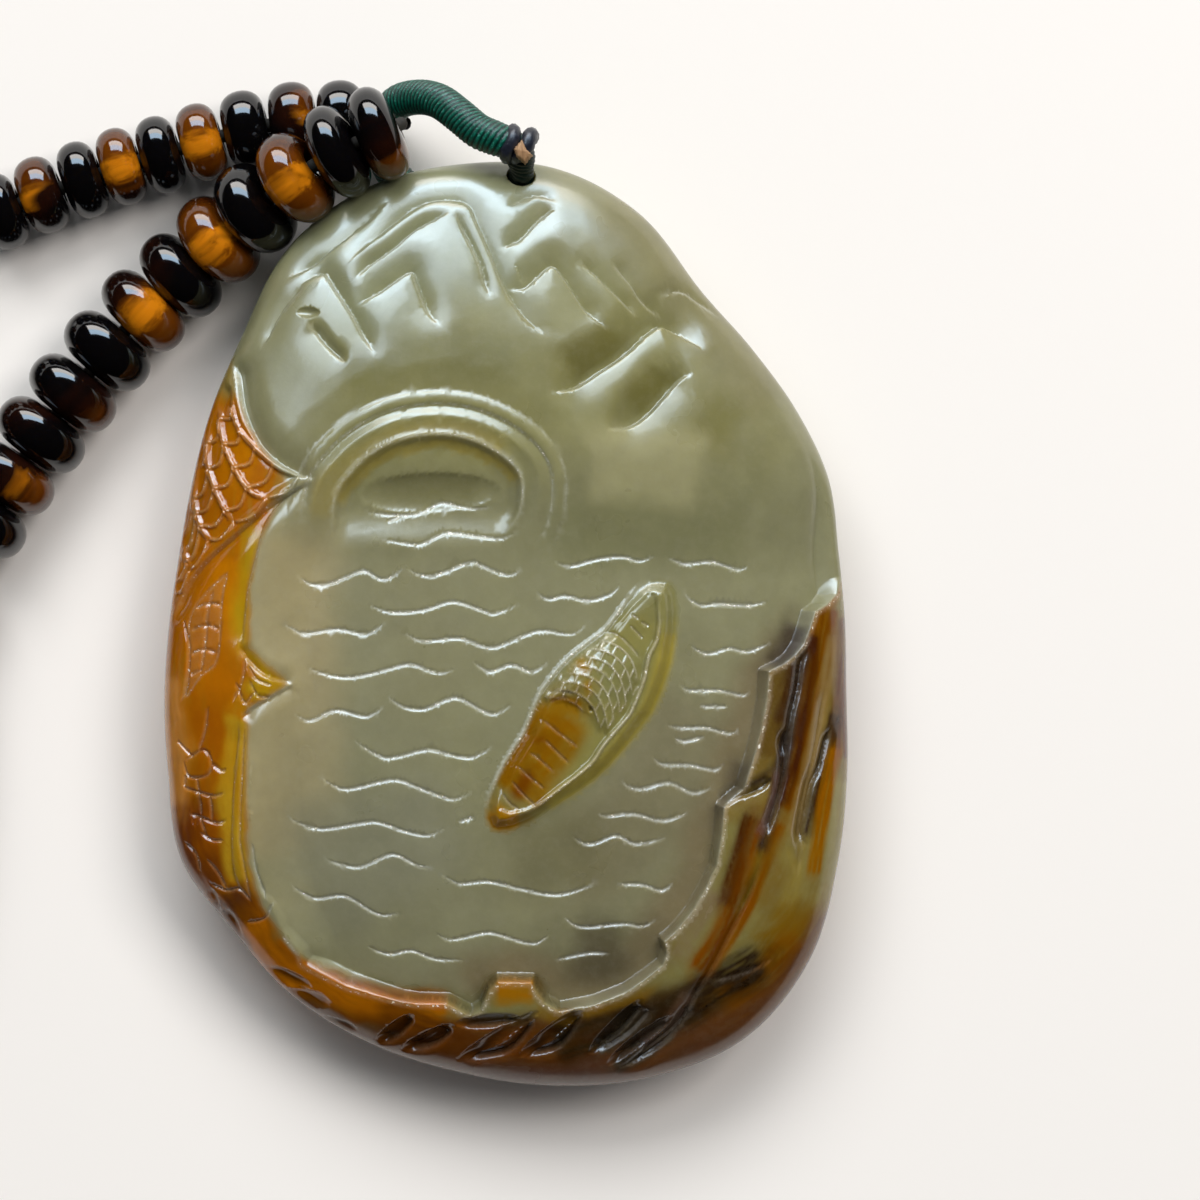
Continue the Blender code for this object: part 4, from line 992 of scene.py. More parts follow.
def make_stone():
    """The stone as one mesh: carved front, plain back, one shared rim."""
    front, back, frost_and_shine, depth = stone_grids()
    size = STONE_CELLS + 1
    x, y = front[..., 0], front[..., 1]
    painted = inside(LEFT_SKIN, x, y) > PAINTED_MARGIN_LEFT
    for shape in (RIGHT_SKIN, HULL):
        painted |= inside(shape, x, y) > PAINTED_MARGIN
    errors = facet_errors((front, back), (np.where(painted, WIDEST_PAINTED, WIDEST_FRONT),
                                          np.full((size, size), WIDEST_BACK)))
    rim = np.zeros((size, size), dtype=bool)
    rim[[0, -1], :] = True
    rim[:, [0, -1]] = True
    allowed = FACET_ERROR
    while sum(len(facets(error, allowed)) for error in errors) > MOST_FACETS:
        allowed *= TOLERANCE_STEP
    face_sets = []
    for level, error in enumerate(errors):
        corners = facets(error, allowed)
        index = corners[..., 0] * size + corners[..., 1]
        if level:
            index = np.where(rim.ravel()[index], index, index + size * size)[:, ::-1]
        face_sets.append(index)
    faces = np.concatenate(face_sets)
    used, faces = np.unique(faces, return_inverse=True)
    faces = faces.reshape(-1, 3)
    points = np.concatenate([front.reshape(-1, 3), back.reshape(-1, 3)])[used]
    upper, lower = directions(front), -directions(back)
    shared = upper + lower
    shared /= np.maximum(np.linalg.norm(shared, axis=-1, keepdims=True), 1e-9)
    upper[rim] = shared[rim]
    normals = np.concatenate([upper.reshape(-1, 3), lower.reshape(-1, 3)])[used]
    # Each point's frosting and painted shine, for the material.
    frost_and_shine_marks = np.concatenate([frost_and_shine.ravel(), np.zeros(size * size)])[used]
    cut = np.concatenate([depth.ravel(), np.zeros(size * size)])[used]
    if np.cross(points[faces[0, 1]] - points[faces[0, 0]],
                points[faces[0, 2]] - points[faces[0, 0]])[2] < 0:
        faces = faces[:, ::-1]

    mesh = bpy.data.meshes.new("stone_carved")
    mesh.vertices.add(len(points))
    mesh.vertices.foreach_set("co", (points * MM).astype(np.float32).ravel())
    mesh.loops.add(faces.size)
    mesh.loops.foreach_set("vertex_index", faces.astype(np.int32).ravel())
    mesh.polygons.add(len(faces))
    mesh.polygons.foreach_set("loop_start", np.arange(0, faces.size, 3, dtype=np.int32))
    mesh.polygons.foreach_set("use_smooth", np.ones(len(faces), dtype=bool))
    mesh.update(calc_edges=True)
    mesh.validate()
    mesh.normals_split_custom_set_from_vertices(normals.tolist())

    colours, marks = stone_colours(points, cut, frost_and_shine_marks)
    for name, values in (("stone_colour", colours), ("stone_marks", marks)):
        layer = mesh.color_attributes.new(name, "FLOAT_COLOR", "POINT")
        flat = np.concatenate([values, np.ones((len(values), 1))], axis=1)
        layer.data.foreach_set("color", flat.astype(np.float32).ravel())
    stone = bpy.data.objects.new("stone_carved", mesh)
    bpy.context.scene.collection.objects.link(stone)
    mesh.materials.append(jade_material())
    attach(stone, "root")
    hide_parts("jade_carving")
    return stone


# Colours of the stone.

TABLE = np.random.default_rng(11).random(4096)


def cloud(points, size):
    """Smooth noise from -1 to 1 at each point, with lumps of about one size."""
    place = points / size + 500.0
    cell = np.floor(place).astype(np.int64)
    share = ease(place - cell)
    total = np.zeros(len(points))
    for corner in range(8):
        step = np.array([corner & 1, corner >> 1 & 1, corner >> 2 & 1])
        weight = np.prod(np.where(step, share, 1.0 - share), axis=1)
        key = (cell + step) @ np.array([73856093, 19349663, 83492791])
        total += weight * TABLE[key % 4096]
    return 2.0 * total - 1.0


GREEN = tone(127, 126, 95)

# Broad soft colours of the jade: screen colour, share, full half width, fading, line.
JADE_STROKES = (
    ((126, 124, 80), 0.9, 4.0, 5.0, ((-12.0, 14.0), (-4.0, 14.5), (3.0, 15.0), (12.0, 13.0))),
    ((124, 128, 98), 0.8, 3.0, 4.0, ((-12.0, 19.0), (-4.0, 24.0), (3.0, 24.0))),
    ((122, 118, 84), 0.9, 1.6, 3.0, ((5.0, 25.5), (9.0, 23.5), (12.5, 19.5), (17.0, 13.0))),
    ((106, 104, 58), 0.75, 0.5, 1.8, ((-9.5, 14.2), (-7.0, 15.3), (-3.0, 15.8), (1.0, 15.4))),
    ((98, 94, 46), 0.85, 0.5, 1.3, ((3.2, 14.8), (5.2, 15.8), (6.8, 17.2))),
    ((98, 94, 46), 0.85, 0.5, 1.2, ((7.0, 12.8), (8.4, 13.8), (9.4, 15.2))),
    ((104, 100, 48), 0.85, 1.2, 2.4, ((10.6, 12.0), (12.0, 11.2), (14.0, 10.6))),
    ((112, 112, 78), 0.8, 1.6, 3.0, ((2.4, 7.0), (6.0, 6.4), (10.0, 6.6), (15.0, 6.0))),
    ((148, 145, 108), 0.8, 1.3, 1.7, ((4.5, 9.3), (8.0, 9.4), (12.0, 8.4))),
    ((134, 124, 66), 0.8, 0.3, 0.6, ((-10.6, 6.0), (-10.2, 8.0), (-9.3, 9.4), (-7.8, 10.4),
     (-6.0, 11.2), (-4.0, 11.5), (-2.0, 11.2), (0.0, 10.2))),
    ((146, 132, 60), 0.8, 0.15, 0.35, ((-9.7, 7.0), (-9.0, 8.3), (-7.8, 9.4), (-6.0, 10.2),
     (-4.0, 10.5), (-2.0, 10.2), (-0.4, 9.4), (0.7, 8.3))),
    ((110, 108, 72), 0.8, 0.5, 0.8, ((-7.4, 7.6), (-4.4, 8.0), (-1.4, 7.8))),
    ((152, 141, 104), 0.85, 1.8, 3.0, ((-12.6, 6.0), (-13.0, 2.0), (-12.8, -3.0), (-13.2, -9.0),
     (-12.6, -14.0))),
    ((122, 122, 100), 0.8, 3.0, 4.0, ((-8.5, -9.0), (-7.5, -13.0), (-5.5, -17.0))),
    ((126, 124, 94), 0.7, 2.0, 3.0, ((-7.0, 3.5), (-6.0, -1.0), (-5.0, -5.0))),
    ((112, 106, 80), 0.7, 1.5, 3.0, ((3.0, -14.0), (6.0, -13.0), (9.5, -9.0), (11.5, -4.0))),
    ((110, 97, 70), 0.8, 0.3, 2.0, ((17.2, -0.4), (15.0, -3.4), (14.2, -6.6), (13.2, -9.8),
     (11.8, -12.0), (11.2, -14.8), (9.0, -17.8), (7.6, -20.0), (4.0, -21.2), (0.6, -20.4),
     (-3.0, -21.2))),
    # Painted shade: a dark facet in the water at the foot of the right cliff.
    ((56, 44, 34), 0.9, 0.4, 0.9, ((17.3, 0.2), (16.6, -1.2), (15.6, -2.4))),
    ((74, 67, 48), 0.85, 0.8, 2.2, ((3.4, -18.6), (5.6, -19.4), (7.6, -18.6))),
    ((100, 96, 66), 0.6, 1.0, 2.5, ((0.0, -13.6), (3.2, -13.4), (6.0, -12.6))),
    ((58, 50, 40), 0.6, 0.1, 0.9, ((14.0, -8.0), (13.2, -10.0), (12.4, -10.9))),
)

# Bank of skin at the left and below, in the same form.
LEFT_STROKES = (
    ((158, 94, 16), 1.0, 4.0, 2.0, ((-17.6, 14.0), (-18.0, 6.0), (-17.8, -2.0), (-17.6, -10.0),
     (-16.6, -15.0), (-14.0, -19.0))),
    ((178, 112, 18), 0.8, 0.8, 1.4, ((-16.0, 12.0), (-15.5, 9.5), (-14.2, 8.6))),
    ((184, 118, 20), 0.8, 0.5, 1.2, ((-16.4, 4.0), (-15.9, 1.0), (-16.0, -1.5))),
    ((172, 104, 14), 0.8, 0.5, 1.5, ((-17.6, 4.2), (-18.0, 2.0), (-16.6, -5.0))),
    ((150, 84, 12), 0.7, 0.6, 1.2, ((-17.2, -5.0), (-17.2, -8.0))),
    ((104, 50, 22), 0.85, 0.8, 1.6, ((-18.0, -10.0), (-18.4, -13.0), (-17.0, -16.0))),
    ((140, 78, 24), 0.7, 0.4, 1.0, ((-17.0, -11.0), (-16.9, -14.0))),
    # A painted reflection: a pale sheen along the left rim.
    ((192, 132, 84), 0.85, 0.3, 1.1, ((-19.7, -3.0), (-19.6, -7.0), (-19.4, -11.0))),
    ((160, 92, 22), 0.9, 0.2, 0.6, ((-13.4, -18.5), (-11.7, -20.2), (-8.0, -21.4), (-3.4, -22.2))),
    ((172, 140, 66), 0.85, 0.4, 0.7, ((-15.5, -5.4), (-15.8, -9.0), (-15.9, -13.0), (-15.3, -15.6))),
    ((164, 136, 58), 0.85, 0.3, 0.8, ((-14.6, 5.6), (-15.0, 2.0), (-15.2, -1.0), (-13.6, -3.2),
     (-15.0, -4.4))),
    ((92, 50, 28), 1.0, 1.8, 1.5, ((-17.6, -16.4), (-15.6, -19.6), (-12.4, -22.6), (-8.4, -24.6),
     (-4.0, -25.6), (2.0, -25.8), (7.0, -25.0), (12.0, -22.8), (15.5, -20.4))),
    ((172, 104, 20), 0.9, 0.4, 0.9, ((-15.0, -17.6), (-13.2, -20.0), (-10.6, -21.5), (-7.4, -22.6),
     (-3.4, -23.1))),
    ((86, 46, 18), 0.8, 0.8, 1.4, ((-8.0, -23.6), (-3.0, -24.4), (2.0, -24.4), (5.0, -23.8))),
    # Brown-violet along the bottom rim: partly the skin's colour, partly a painted sheen.
    ((88, 56, 44), 0.9, 0.5, 1.2, ((-17.6, -19.6), (-15.0, -23.0), (-8.0, -26.2), (0.0, -27.0),
     (8.0, -26.2), (13.0, -24.0))),
    ((156, 104, 24), 0.9, 0.4, 0.6, ((-0.6, -21.5), (0.6, -21.6), (1.7, -21.6))),
    ((40, 26, 12), 0.9, 0.7, 1.2, ((2.6, -24.4), (5.4, -24.0), (8.2, -22.8), (11.4, -21.6),
     (14.6, -20.6))),
    ((128, 96, 44), 0.6, 0.1, 0.5, ((1.6, -22.6), (3.4, -23.0), (5.4, -22.7), (7.6, -21.9),
     (9.0, -20.8))),
)

# Rock at the right, painted from its pale edge to the streaks that run down it.
RIGHT_STROKES = (
    ((118, 100, 64), 1.0, 5.0, 3.0, ((18.5, 1.0), (17.0, -6.0), (15.5, -13.0), (13.4, -16.5))),
    ((132, 124, 90), 0.9, 0.9, 1.2, ((19.6, -9.0), (19.2, -13.0), (18.2, -16.6))),
    ((116, 90, 42), 0.85, 1.0, 1.8, ((18.4, -16.6), (16.8, -18.6), (14.6, -19.6))),
    ((114, 70, 22), 0.9, 0.8, 1.5, ((18.0, -18.6), (15.6, -21.2), (12.6, -22.6))),
    ((92, 56, 36), 0.9, 0.7, 1.5, ((20.0, -17.4), (17.0, -21.8), (12.6, -24.6), (7.0, -26.2))),
    ((34, 20, 10), 0.9, 0.6, 1.3, ((15.4, -19.8), (12.6, -21.2), (9.8, -23.0), (6.6, -24.2))),
    ((90, 70, 40), 0.9, 0.6, 0.8, ((17.6, -0.6), (16.8, -3.0), (16.0, -5.2), (15.3, -8.0))),
    ((130, 84, 16), 0.85, 0.25, 0.5, ((19.6, 2.2), (18.4, 0.4), (18.0, -1.0))),
    ((58, 30, 14), 0.9, 0.25, 0.6, ((17.1, -2.2), (16.7, -4.2), (16.3, -6.0))),
    ((124, 118, 84), 0.9, 0.5, 0.8, ((13.4, -11.4), (13.2, -13.6), (12.2, -16.0), (10.4, -18.2))),
    ((126, 108, 88), 0.6, 0.3, 0.6, ((12.4, -15.6), (11.2, -17.6), (10.2, -19.6))),
    ((118, 66, 14), 0.9, 0.35, 0.7, ((15.0, -11.2), (14.3, -13.4), (13.5, -16.0), (12.6, -18.4),
     (11.2, -20.4))),
    ((66, 32, 12), 0.8, 0.2, 0.6, ((14.5, -11.0), (13.6, -14.0), (12.8, -16.6))),
    ((112, 94, 46), 0.8, 0.2, 0.5, ((15.7, -12.2), (15.0, -14.2), (14.0, -16.8))),
    ((104, 62, 12), 0.95, 0.35, 0.6, ((19.1, 1.0), (18.6, -2.0), (17.7, -6.0), (17.2, -8.6),
     (16.4, -11.0))),
    ((112, 66, 12), 0.85, 0.15, 0.4, ((16.2, -11.6), (15.4, -13.8), (14.4, -16.2), (13.2, -18.4),
     (12.0, -20.2))),
    ((60, 24, 10), 0.9, 0.22, 0.5, ((18.0, -0.6), (17.8, -3.0), (17.4, -5.4), (16.8, -8.4),
     (16.2, -10.6))),
    ((132, 108, 76), 0.8, 0.20, 0.4, ((19.4, -0.6), (18.9, -3.4), (18.5, -5.4), (18.1, -7.7),
     (17.5, -9.9), (16.9, -12.4))),
    ((84, 42, 18), 0.9, 0.40, 0.5, ((20.3, 0.4), (20.1, -3.0), (19.9, -6.0), (19.9, -8.0))),
    ((44, 24, 16), 0.85, 0.16, 0.45, ((19.6, -5.2), (19.1, -6.9), (18.6, -8.7), (18.0, -11.6),
     (17.8, -12.6))),
    ((134, 84, 8), 0.95, 0.22, 0.4, ((19.5, -7.2), (19.1, -9.0), (18.7, -11.0), (18.4, -13.0),
     (18.1, -14.8))),
    ((44, 26, 20), 0.85, 0.12, 0.4, ((17.6, -1.6), (17.2, -3.0), (16.8, -5.6), (16.4, -7.6),
     (15.4, -8.8), (14.3, -9.6))),
    ((48, 26, 20), 0.85, 0.16, 0.45, ((16.5, -6.2), (16.3, -8.2), (16.0, -9.9), (15.4, -12.2),
     (15.0, -13.4))),
    ((92, 62, 58), 0.8, 0.10, 0.3, ((16.0, -8.6), (15.6, -10.4), (14.9, -12.4))),
    ((134, 120, 78), 0.6, 0.25, 0.6, ((16.4, -13.2), (17.0, -14.6), (16.6, -16.4))),
    ((48, 35, 26), 0.9, 0.20, 0.45, ((8.5, -22.6), (7.2, -24.0), (5.5, -25.2))),
    ((48, 35, 26), 0.9, 0.22, 0.45, ((9.8, -24.0), (8.1, -25.4), (6.4, -26.2))),
    ((92, 64, 52), 0.7, 0.25, 0.4, ((10.8, -21.6), (9.9, -23.2), (8.2, -24.8))),
)
RIGHT_SKIN = WATER_EDGE[:29] + (
    (2.2, -30.0), (30.0, -30.0), (30.0, 3.2), (20.9, 3.2),
)
LEFT_SKIN = (
    (4.2, -22.9), (2.9, -22.75), (2.2, -22.3), (1.85, -21.55), (1.60, -21.0),
    (-0.39, -21.0), (-0.89, -21.55),
    (-1.39, -22.68), (-2.01, -22.9), (-3.38, -22.1), (-6.1, -21.9), (-9.4, -21.1),
    (-11.6, -20.0), (-12.9, -18.4), (-14.3, -16.6), (-15.0, -14.0), (-15.1, -9.0),
    (-14.9, -5.0), (-12.6, -3.5), (-14.9, -1.4), (-14.9, 2.0), (-14.3, 5.0), (-12.4, 8.2),
    (-13.6, 9.6), (-15.0, 11.4), (-15.8, 13.6), (-16.2, 16.2), (-30.0, 18.0), (-30.0, -30.0),
    (4.2, -30.0),
)

# The boat keeps a warm skin of its own.
BOAT_STROKES = (
    ((134, 130, 92), 0.9, 1.0, 1.2, ((8.6, 0.4), (7.0, -3.0), (4.6, -6.4), (2.0, -9.6))),
    ((128, 128, 96), 0.85, 0.9, 0.9, ((7.4, -1.2), (6.6, -3.2), (6.4, -4.8))),
    # Painted light: the hull's right wall, which faces away from the lamps, is painted pale.
    ((158, 146, 92), 0.9, 0.6, 0.7, ((10.2, -0.6), (9.2, -4.4), (7.6, -7.0), (5.0, -9.6),
     (2.6, -11.0))),
    ((128, 88, 20), 0.95, 1.1, 1.2, ((3.6, -5.0), (2.4, -7.2), (1.3, -8.8), (0.5, -10.2))),
    ((104, 54, 6), 0.8, 0.2, 0.5, ((1.5, -8.6), (1.2, -9.4), (0.6, -10.2))),
    ((112, 60, 6), 0.6, 0.2, 0.5, ((1.9, -6.4), (2.1, -7.0))),
    ((146, 112, 48), 0.7, 0.25, 0.5, ((4.2, -2.6), (4.9, -2.3))),
    ((146, 112, 48), 0.7, 0.25, 0.5, ((4.6, -3.7), (5.2, -3.6))),
    ((136, 96, 20), 0.8, 0.3, 0.5, ((2.6, -4.8), (3.6, -4.7), (4.6, -5.0))),
    ((150, 104, 20), 0.85, 0.4, 0.6, ((1.0, -11.6), (-0.2, -11.6), (-0.8, -10.8))),
    # A painted highlight: pale paint at the bow's tip.
    ((150, 152, 128), 0.5, 0.25, 0.5, ((8.8, 2.2), (8.0, 1.5), (7.2, 0.6))),
)


# What rich skin multiplies its red, green and blue by, and how much the plain jade lightens.
SKIN_DEPTH = (1.10, 1.04, 0.15)
JADE_LIFT = 0.16
# Uneven shade over the whole stone: amount and size of each layer.
SHADES = ((0.05, 1.4), (0.04, 0.4))
# A colour is rich where its blue is little beside its green.
RICH_LEVEL = 1.25
RICH_FALL = 1.6
DRIFT_BROAD = 0.35
DRIFT_FINE = 0.07
STREAK = (0.16, 1.8)
# Edges of the skins: how far outside its outline each starts, and how wide it fades.
LEFT_FADE = (0.25, 0.6)
LEFT_FADE_BELOW = (0.8, 0.5)
RIGHT_FADE = (0.04, 0.14)
BOAT_FADE = (0.15, 0.4)
SKIN_WANDER = (0.10, 0.7)
# Levels under which the left skin softens and the right one joins it, with their fading.
BELOW_LEVEL = (-19.0, 2.0)
JOIN_LEVEL = (-20.5, 1.5)
# Painted shade in deep cuts: start, range, share on the right skin and below the left one.
PIT_START = 0.06
PIT_RANGE = 0.45
PIT_RIGHT = 0.35
PIT_BELOW = 0.6


def blend(first, second, share):
    return first + (np.array(second) - first) * share[:, None]


class Painting:
    """Colours of points on the stone, laid on in strokes with feathered edges."""

    def __init__(self, points, ground):
        drift = np.stack([cloud(points, 2.4) + 0.5 * cloud(points, 0.9),
                          cloud(points + 90.0, 2.4) + 0.5 * cloud(points + 90.0, 0.9)])
        self.x = points[:, 0] + DRIFT_BROAD * drift[0]
        self.y = points[:, 1] + DRIFT_BROAD * drift[1]
        self.fine_x = points[:, 0] + DRIFT_FINE * drift[0]
        self.fine_y = points[:, 1] + DRIFT_FINE * drift[1]
        self.colour = np.tile(np.array(ground), (len(points), 1))

    def strokes(self, table, fine=False, within=1.0, grain=0.0):
        x, y = (self.fine_x, self.fine_y) if fine else (self.x, self.y)
        for number, (colour, share, width, fade, points) in enumerate(table):
            line = smooth_line(points)
            reach = width + fade
            low, high = line.min(axis=0) - reach, line.max(axis=0) + reach
            near = np.nonzero((x > low[0]) & (x < high[0]) & (y > low[1]) & (y < high[1]))[0]
            gap, side, along = follow(line, x[near], y[near])
            length = np.linalg.norm(np.diff(line, axis=0), axis=1).sum()
            ends = ease(np.minimum(along, 1.0 - along) * length / max(fade, 0.5) + 0.35)
            amount = share * ease((reach - gap) / fade) * ends
            if grain:
                flow = np.stack([side * gap / STREAK[0], along * length / STREAK[1],
                                 np.full(len(near), 7.0 * number)], axis=1)
                amount = np.clip(amount * (1.0 + grain * cloud(flow, 1.0)), 0.0, 1.0)
            if not np.isscalar(within):
                amount = amount * within[near]
            self.colour[near] = blend(self.colour[near], tone(*colour), amount)


def stone_colours(points, cut, frost_and_shine):
    """Each point's colour, with painted shade in deep cuts, and its marks for the material: frosting
    with painted shine, and richness of skin.
    """
    x, y = points[:, 0], points[:, 1]
    work = Painting(points, GREEN)
    work.strokes(JADE_STROKES)
    tight = SKIN_WANDER[0] * cloud(points, SKIN_WANDER[1])
    below = ease((BELOW_LEVEL[0] - y) / BELOW_LEVEL[1])
    start, fade = (a + b * below for a, b in zip(LEFT_FADE, LEFT_FADE_BELOW))
    left = ease((inside(LEFT_SKIN, x, y) + start + tight) / fade)
    right = ease((inside(RIGHT_SKIN, x, y) + RIGHT_FADE[0] + 0.4 * tight) / RIGHT_FADE[1])
    left = np.maximum(left, right * ease((JOIN_LEVEL[0] - y) / JOIN_LEVEL[1]))
    boat = ease((inside(HULL, x, y) + BOAT_FADE[0]) / BOAT_FADE[1])
    work.strokes(LEFT_STROKES, within=left, grain=0.25)
    work.strokes(RIGHT_STROKES, fine=True, within=right, grain=0.45)
    work.strokes(BOAT_STROKES, fine=True, within=boat, grain=0.2)
    skin = np.clip(left + right, 0.0, 1.0)
    shade = 1.0
    for amount, size in SHADES:
        shade = shade + amount * cloud(points, size)
    colour = work.colour * shade[:, None]
    rich = np.clip(RICH_LEVEL - RICH_FALL * colour[:, 2] / colour[:, 1], 0.0, 1.0)
    rich *= np.maximum(skin, boat)
    colour *= (1.0 + rich[:, None] * (np.array(SKIN_DEPTH) - 1.0)
               + (1.0 - np.maximum(skin, boat))[:, None] * JADE_LIFT)
    # Painted shade: the skin darkens in deep cuts.
    pit = np.clip((-cut - PIT_START) / PIT_RANGE, 0.0, 1.0)
    colour *= 1.0 - (pit * np.maximum(PIT_RIGHT * right, PIT_BELOW * left * below))[:, None]
    marks = np.stack([frost_and_shine, rich, np.zeros(len(points))], axis=1)
    return colour, marks


def jade_material():
    """Polished jade coloured by the stone's painted points and their marks."""
    paint = Nodes("jade")
    base = paint.attribute("stone_colour")
    marks = paint.add("ShaderNodeSeparateColor")
    paint.tree.links.new(paint.attribute("stone_marks"), marks.inputs["Color"])
    frost_and_shine = marks.outputs["Red"]
    mottle = paint.ramp(paint.noise(520.0, 5.0, 0.65), 0.3, 0.7)
    skin = marks.outputs["Green"]
    plain = paint.math("SUBTRACT", 1.0, skin)

    # Clouds in the stone, then pale fibres where there is no skin.
    base = paint.mix(paint.math("MULTIPLY", mottle, 0.14), base,
                     paint.mix(skin, (0.11, 0.105, 0.05), (0.06, 0.022, 0.002)))
    fibre = paint.ramp(paint.noise(1800.0, 3.0, 0.7), 0.42, 0.66)
    base = paint.mix(paint.math("MULTIPLY", paint.math("MULTIPLY", fibre, 0.05), plain), base,
                     (0.42, 0.41, 0.30))

    # Chalky tool marks on the cuts, partly painted shine, and small painted glints on them.
    scratch = paint.ramp(paint.noise(3200.0, 2.0, 0.7), 0.30, 0.62, 0.45, 1.0)
    # The colour turns chalk white where frosting and painted shine lie.
    white = paint.math("MULTIPLY", frost_and_shine, scratch)
    chalk_and_shine = paint.mix(skin, (0.62, 0.64, 0.57), (0.46, 0.32, 0.17))
    base = paint.mix(paint.math("MULTIPLY", white, 0.80), base, chalk_and_shine)
    painted_glint = paint.math("MULTIPLY", paint.ramp(frost_and_shine, 0.25, 0.5),
                       paint.ramp(paint.noise(5200.0, 2.0, 0.6), 0.60, 0.67))
    base = paint.mix(painted_glint, base, (0.90, 0.88, 0.80))
    paint.set("Base Color", base)

    # Polish: duller on the cuts, glossier on the skin.
    haze = paint.ramp(paint.noise(240.0, 3.0, 0.6), 0.3, 0.7, 0.27, 0.35)
    haze = paint.math("SUBTRACT", haze, paint.math("MULTIPLY", skin, 0.17))
    rough = paint.math("ADD", haze, paint.math("MULTIPLY", white, 0.22))
    paint.set("Roughness", rough)
    paint.set("IOR", 1.61)
    paint.set("Specular IOR Level",
              paint.math("SUBTRACT", 0.5, paint.math("MULTIPLY", skin, 0.16)))
    paint.set("Subsurface Weight", 0.35)
    paint.set("Subsurface Radius", (1.0, 0.9, 0.5))
    paint.set("Subsurface Scale", 0.0012)
    paint.set("Coat Weight", 0.2)
    paint.set("Coat Roughness", 0.08)
    swell = paint.bump(paint.noise(300.0, 2.0, 0.5), 0.6, 0.00005)
    paint.bump(paint.noise(1500.0, 4.0, 0.65), 0.14, 0.00006, below=swell)
    return paint.material


# Beads and their thread.

THREAD_DIAMETER = 0.8
BEAD_BORE = 1.6
REST_TRIM = 0.15
UPPER_RADIUS = 2.365
LOWER_RADIUS = 2.9

BEAD_SIDE_POWER = 0.95
BEAD_RIM_POWER = 0.84
BORE_ROUNDING = 0.25
BEAD_GAP = 0.10

UPPER_BEADS = (
    (-9.9, 30.1), (-12.75, 30.0), (-15.55, 29.5), (-18.2, 28.75), (-20.65, 28.0),
    (-23.0, 27.3), (-25.3, 26.5), (-27.75, 25.6), (-30.2, 24.6),
)
LOWER_BEADS = (
    (-7.4, 28.8, 7.3), (-9.85, 27.75, 7.2), (-12.35, 26.3, 6.4), (-14.8, 24.6, 5.0),
    (-17.1, 22.84, 3.75), (-19.4, 20.75, 3.05), (-21.65, 18.65, 2.9), (-23.8, 16.25, 2.9),
    (-25.85, 13.75, 2.9), (-27.75, 11.25, 2.9), (-29.6, 8.7, 2.9), (-31.3, 6.1, 2.9),
)
# Each bead's amber share, and the side that it is on (across, up the picture).
UPPER_LOOKS = (
    (0.0, (1, 0)), (0.35, (1, 0.4)), (0.0, (1, 0)), (1.0, (1, 0)), (0.0, (1, 0)),
    (0.75, (-0.5, 1)), (0.0, (1, 0)), (0.45, (-1, 0.1)), (0.0, (1, 0)),
)
LOWER_LOOKS = (
    (0.30, (0.6, -1)), (0.0, (1, 0)), (0.85, (0.3, -0.6)), (0.0, (1, 0)), (1.0, (1, 0)),
    (0.05, (-1, 0)), (0.6, (0.8, -0.6)), (0.0, (1, 0)), (0.25, (0.7, -1)), (0.08, (0, 1)),
    (0.30, (1, -0.7)), (0.0, (1, 0)),
)
THREAD_TURN = (
    (-6.3, 29.3, 7.3), (-6.1, 29.5, 6.3), (-6.0, 29.7, 4.2), (-6.0, 29.9, 2.1),
    (-6.6, 30.05, 1.15), (-7.7, 30.1, 1.45), (-8.5, 30.1, 2.3),
)
NECKLACE_LENGTH = 457.0
COIL_CENTRE = Vector((-67.8, -6.0, 0.0))
COIL_INNER = 27.3
COIL_OUTER = 33.3
# The way from the last upper bead to the coil, and from the coil to the last lower bead.
LEAD_IN = ((-35.0, 21.6, 0.0), (-39.3, 15.5, 0.0), (-41.0, 6.0, 0.0))
LEAD_IN_STEP = 2.2
LEAD_OUT = ((-34.5, -1.8, 0.0), (-33.5, 2.0, 0.0))
LEAD_OUT_STEP = 2.4
CLEAR_OF_FLOOR = 0.02
REST_ENDS = 1.2
REST_LAST = 1.0
REST_THICKNESS = (1.12, 0.10)
REST_GAP = 0.12
REST_AROUND, REST_STEPS = 24, 9
# Shares of the rest's beads that are all dark, and all dark or partly amber.
DARK_SHARE = 0.5
MIXED_SHARE = 0.82


def walked(route):
    return sum((b - a).length for a, b in zip(route[:-1], route[1:]))


def spread(route, spacing):
    """Points along a smooth line through a route, about one spacing apart."""
    line = smooth_line([tuple(p) for p in route], steps=16)
    gaps = np.linalg.norm(np.diff(line, axis=0), axis=1)
    passed = np.concatenate([[0.0], np.cumsum(gaps)])
    count = max(2, int(round(passed[-1] / spacing)) + 1)
    marks = np.linspace(0.0, passed[-1], count)
    return [Vector([float(np.interp(m, passed, line[:, k])) for k in range(3)]) for m in marks]


def coil_route(radius, start, end, step=13.0):
    count = int(round(abs(start - end) / step)) + 1
    route = []
    for angle in np.radians(np.linspace(start, end, count)):
        route.append(COIL_CENTRE + radius * Vector((math.cos(angle), math.sin(angle), 0.0)))
    return route


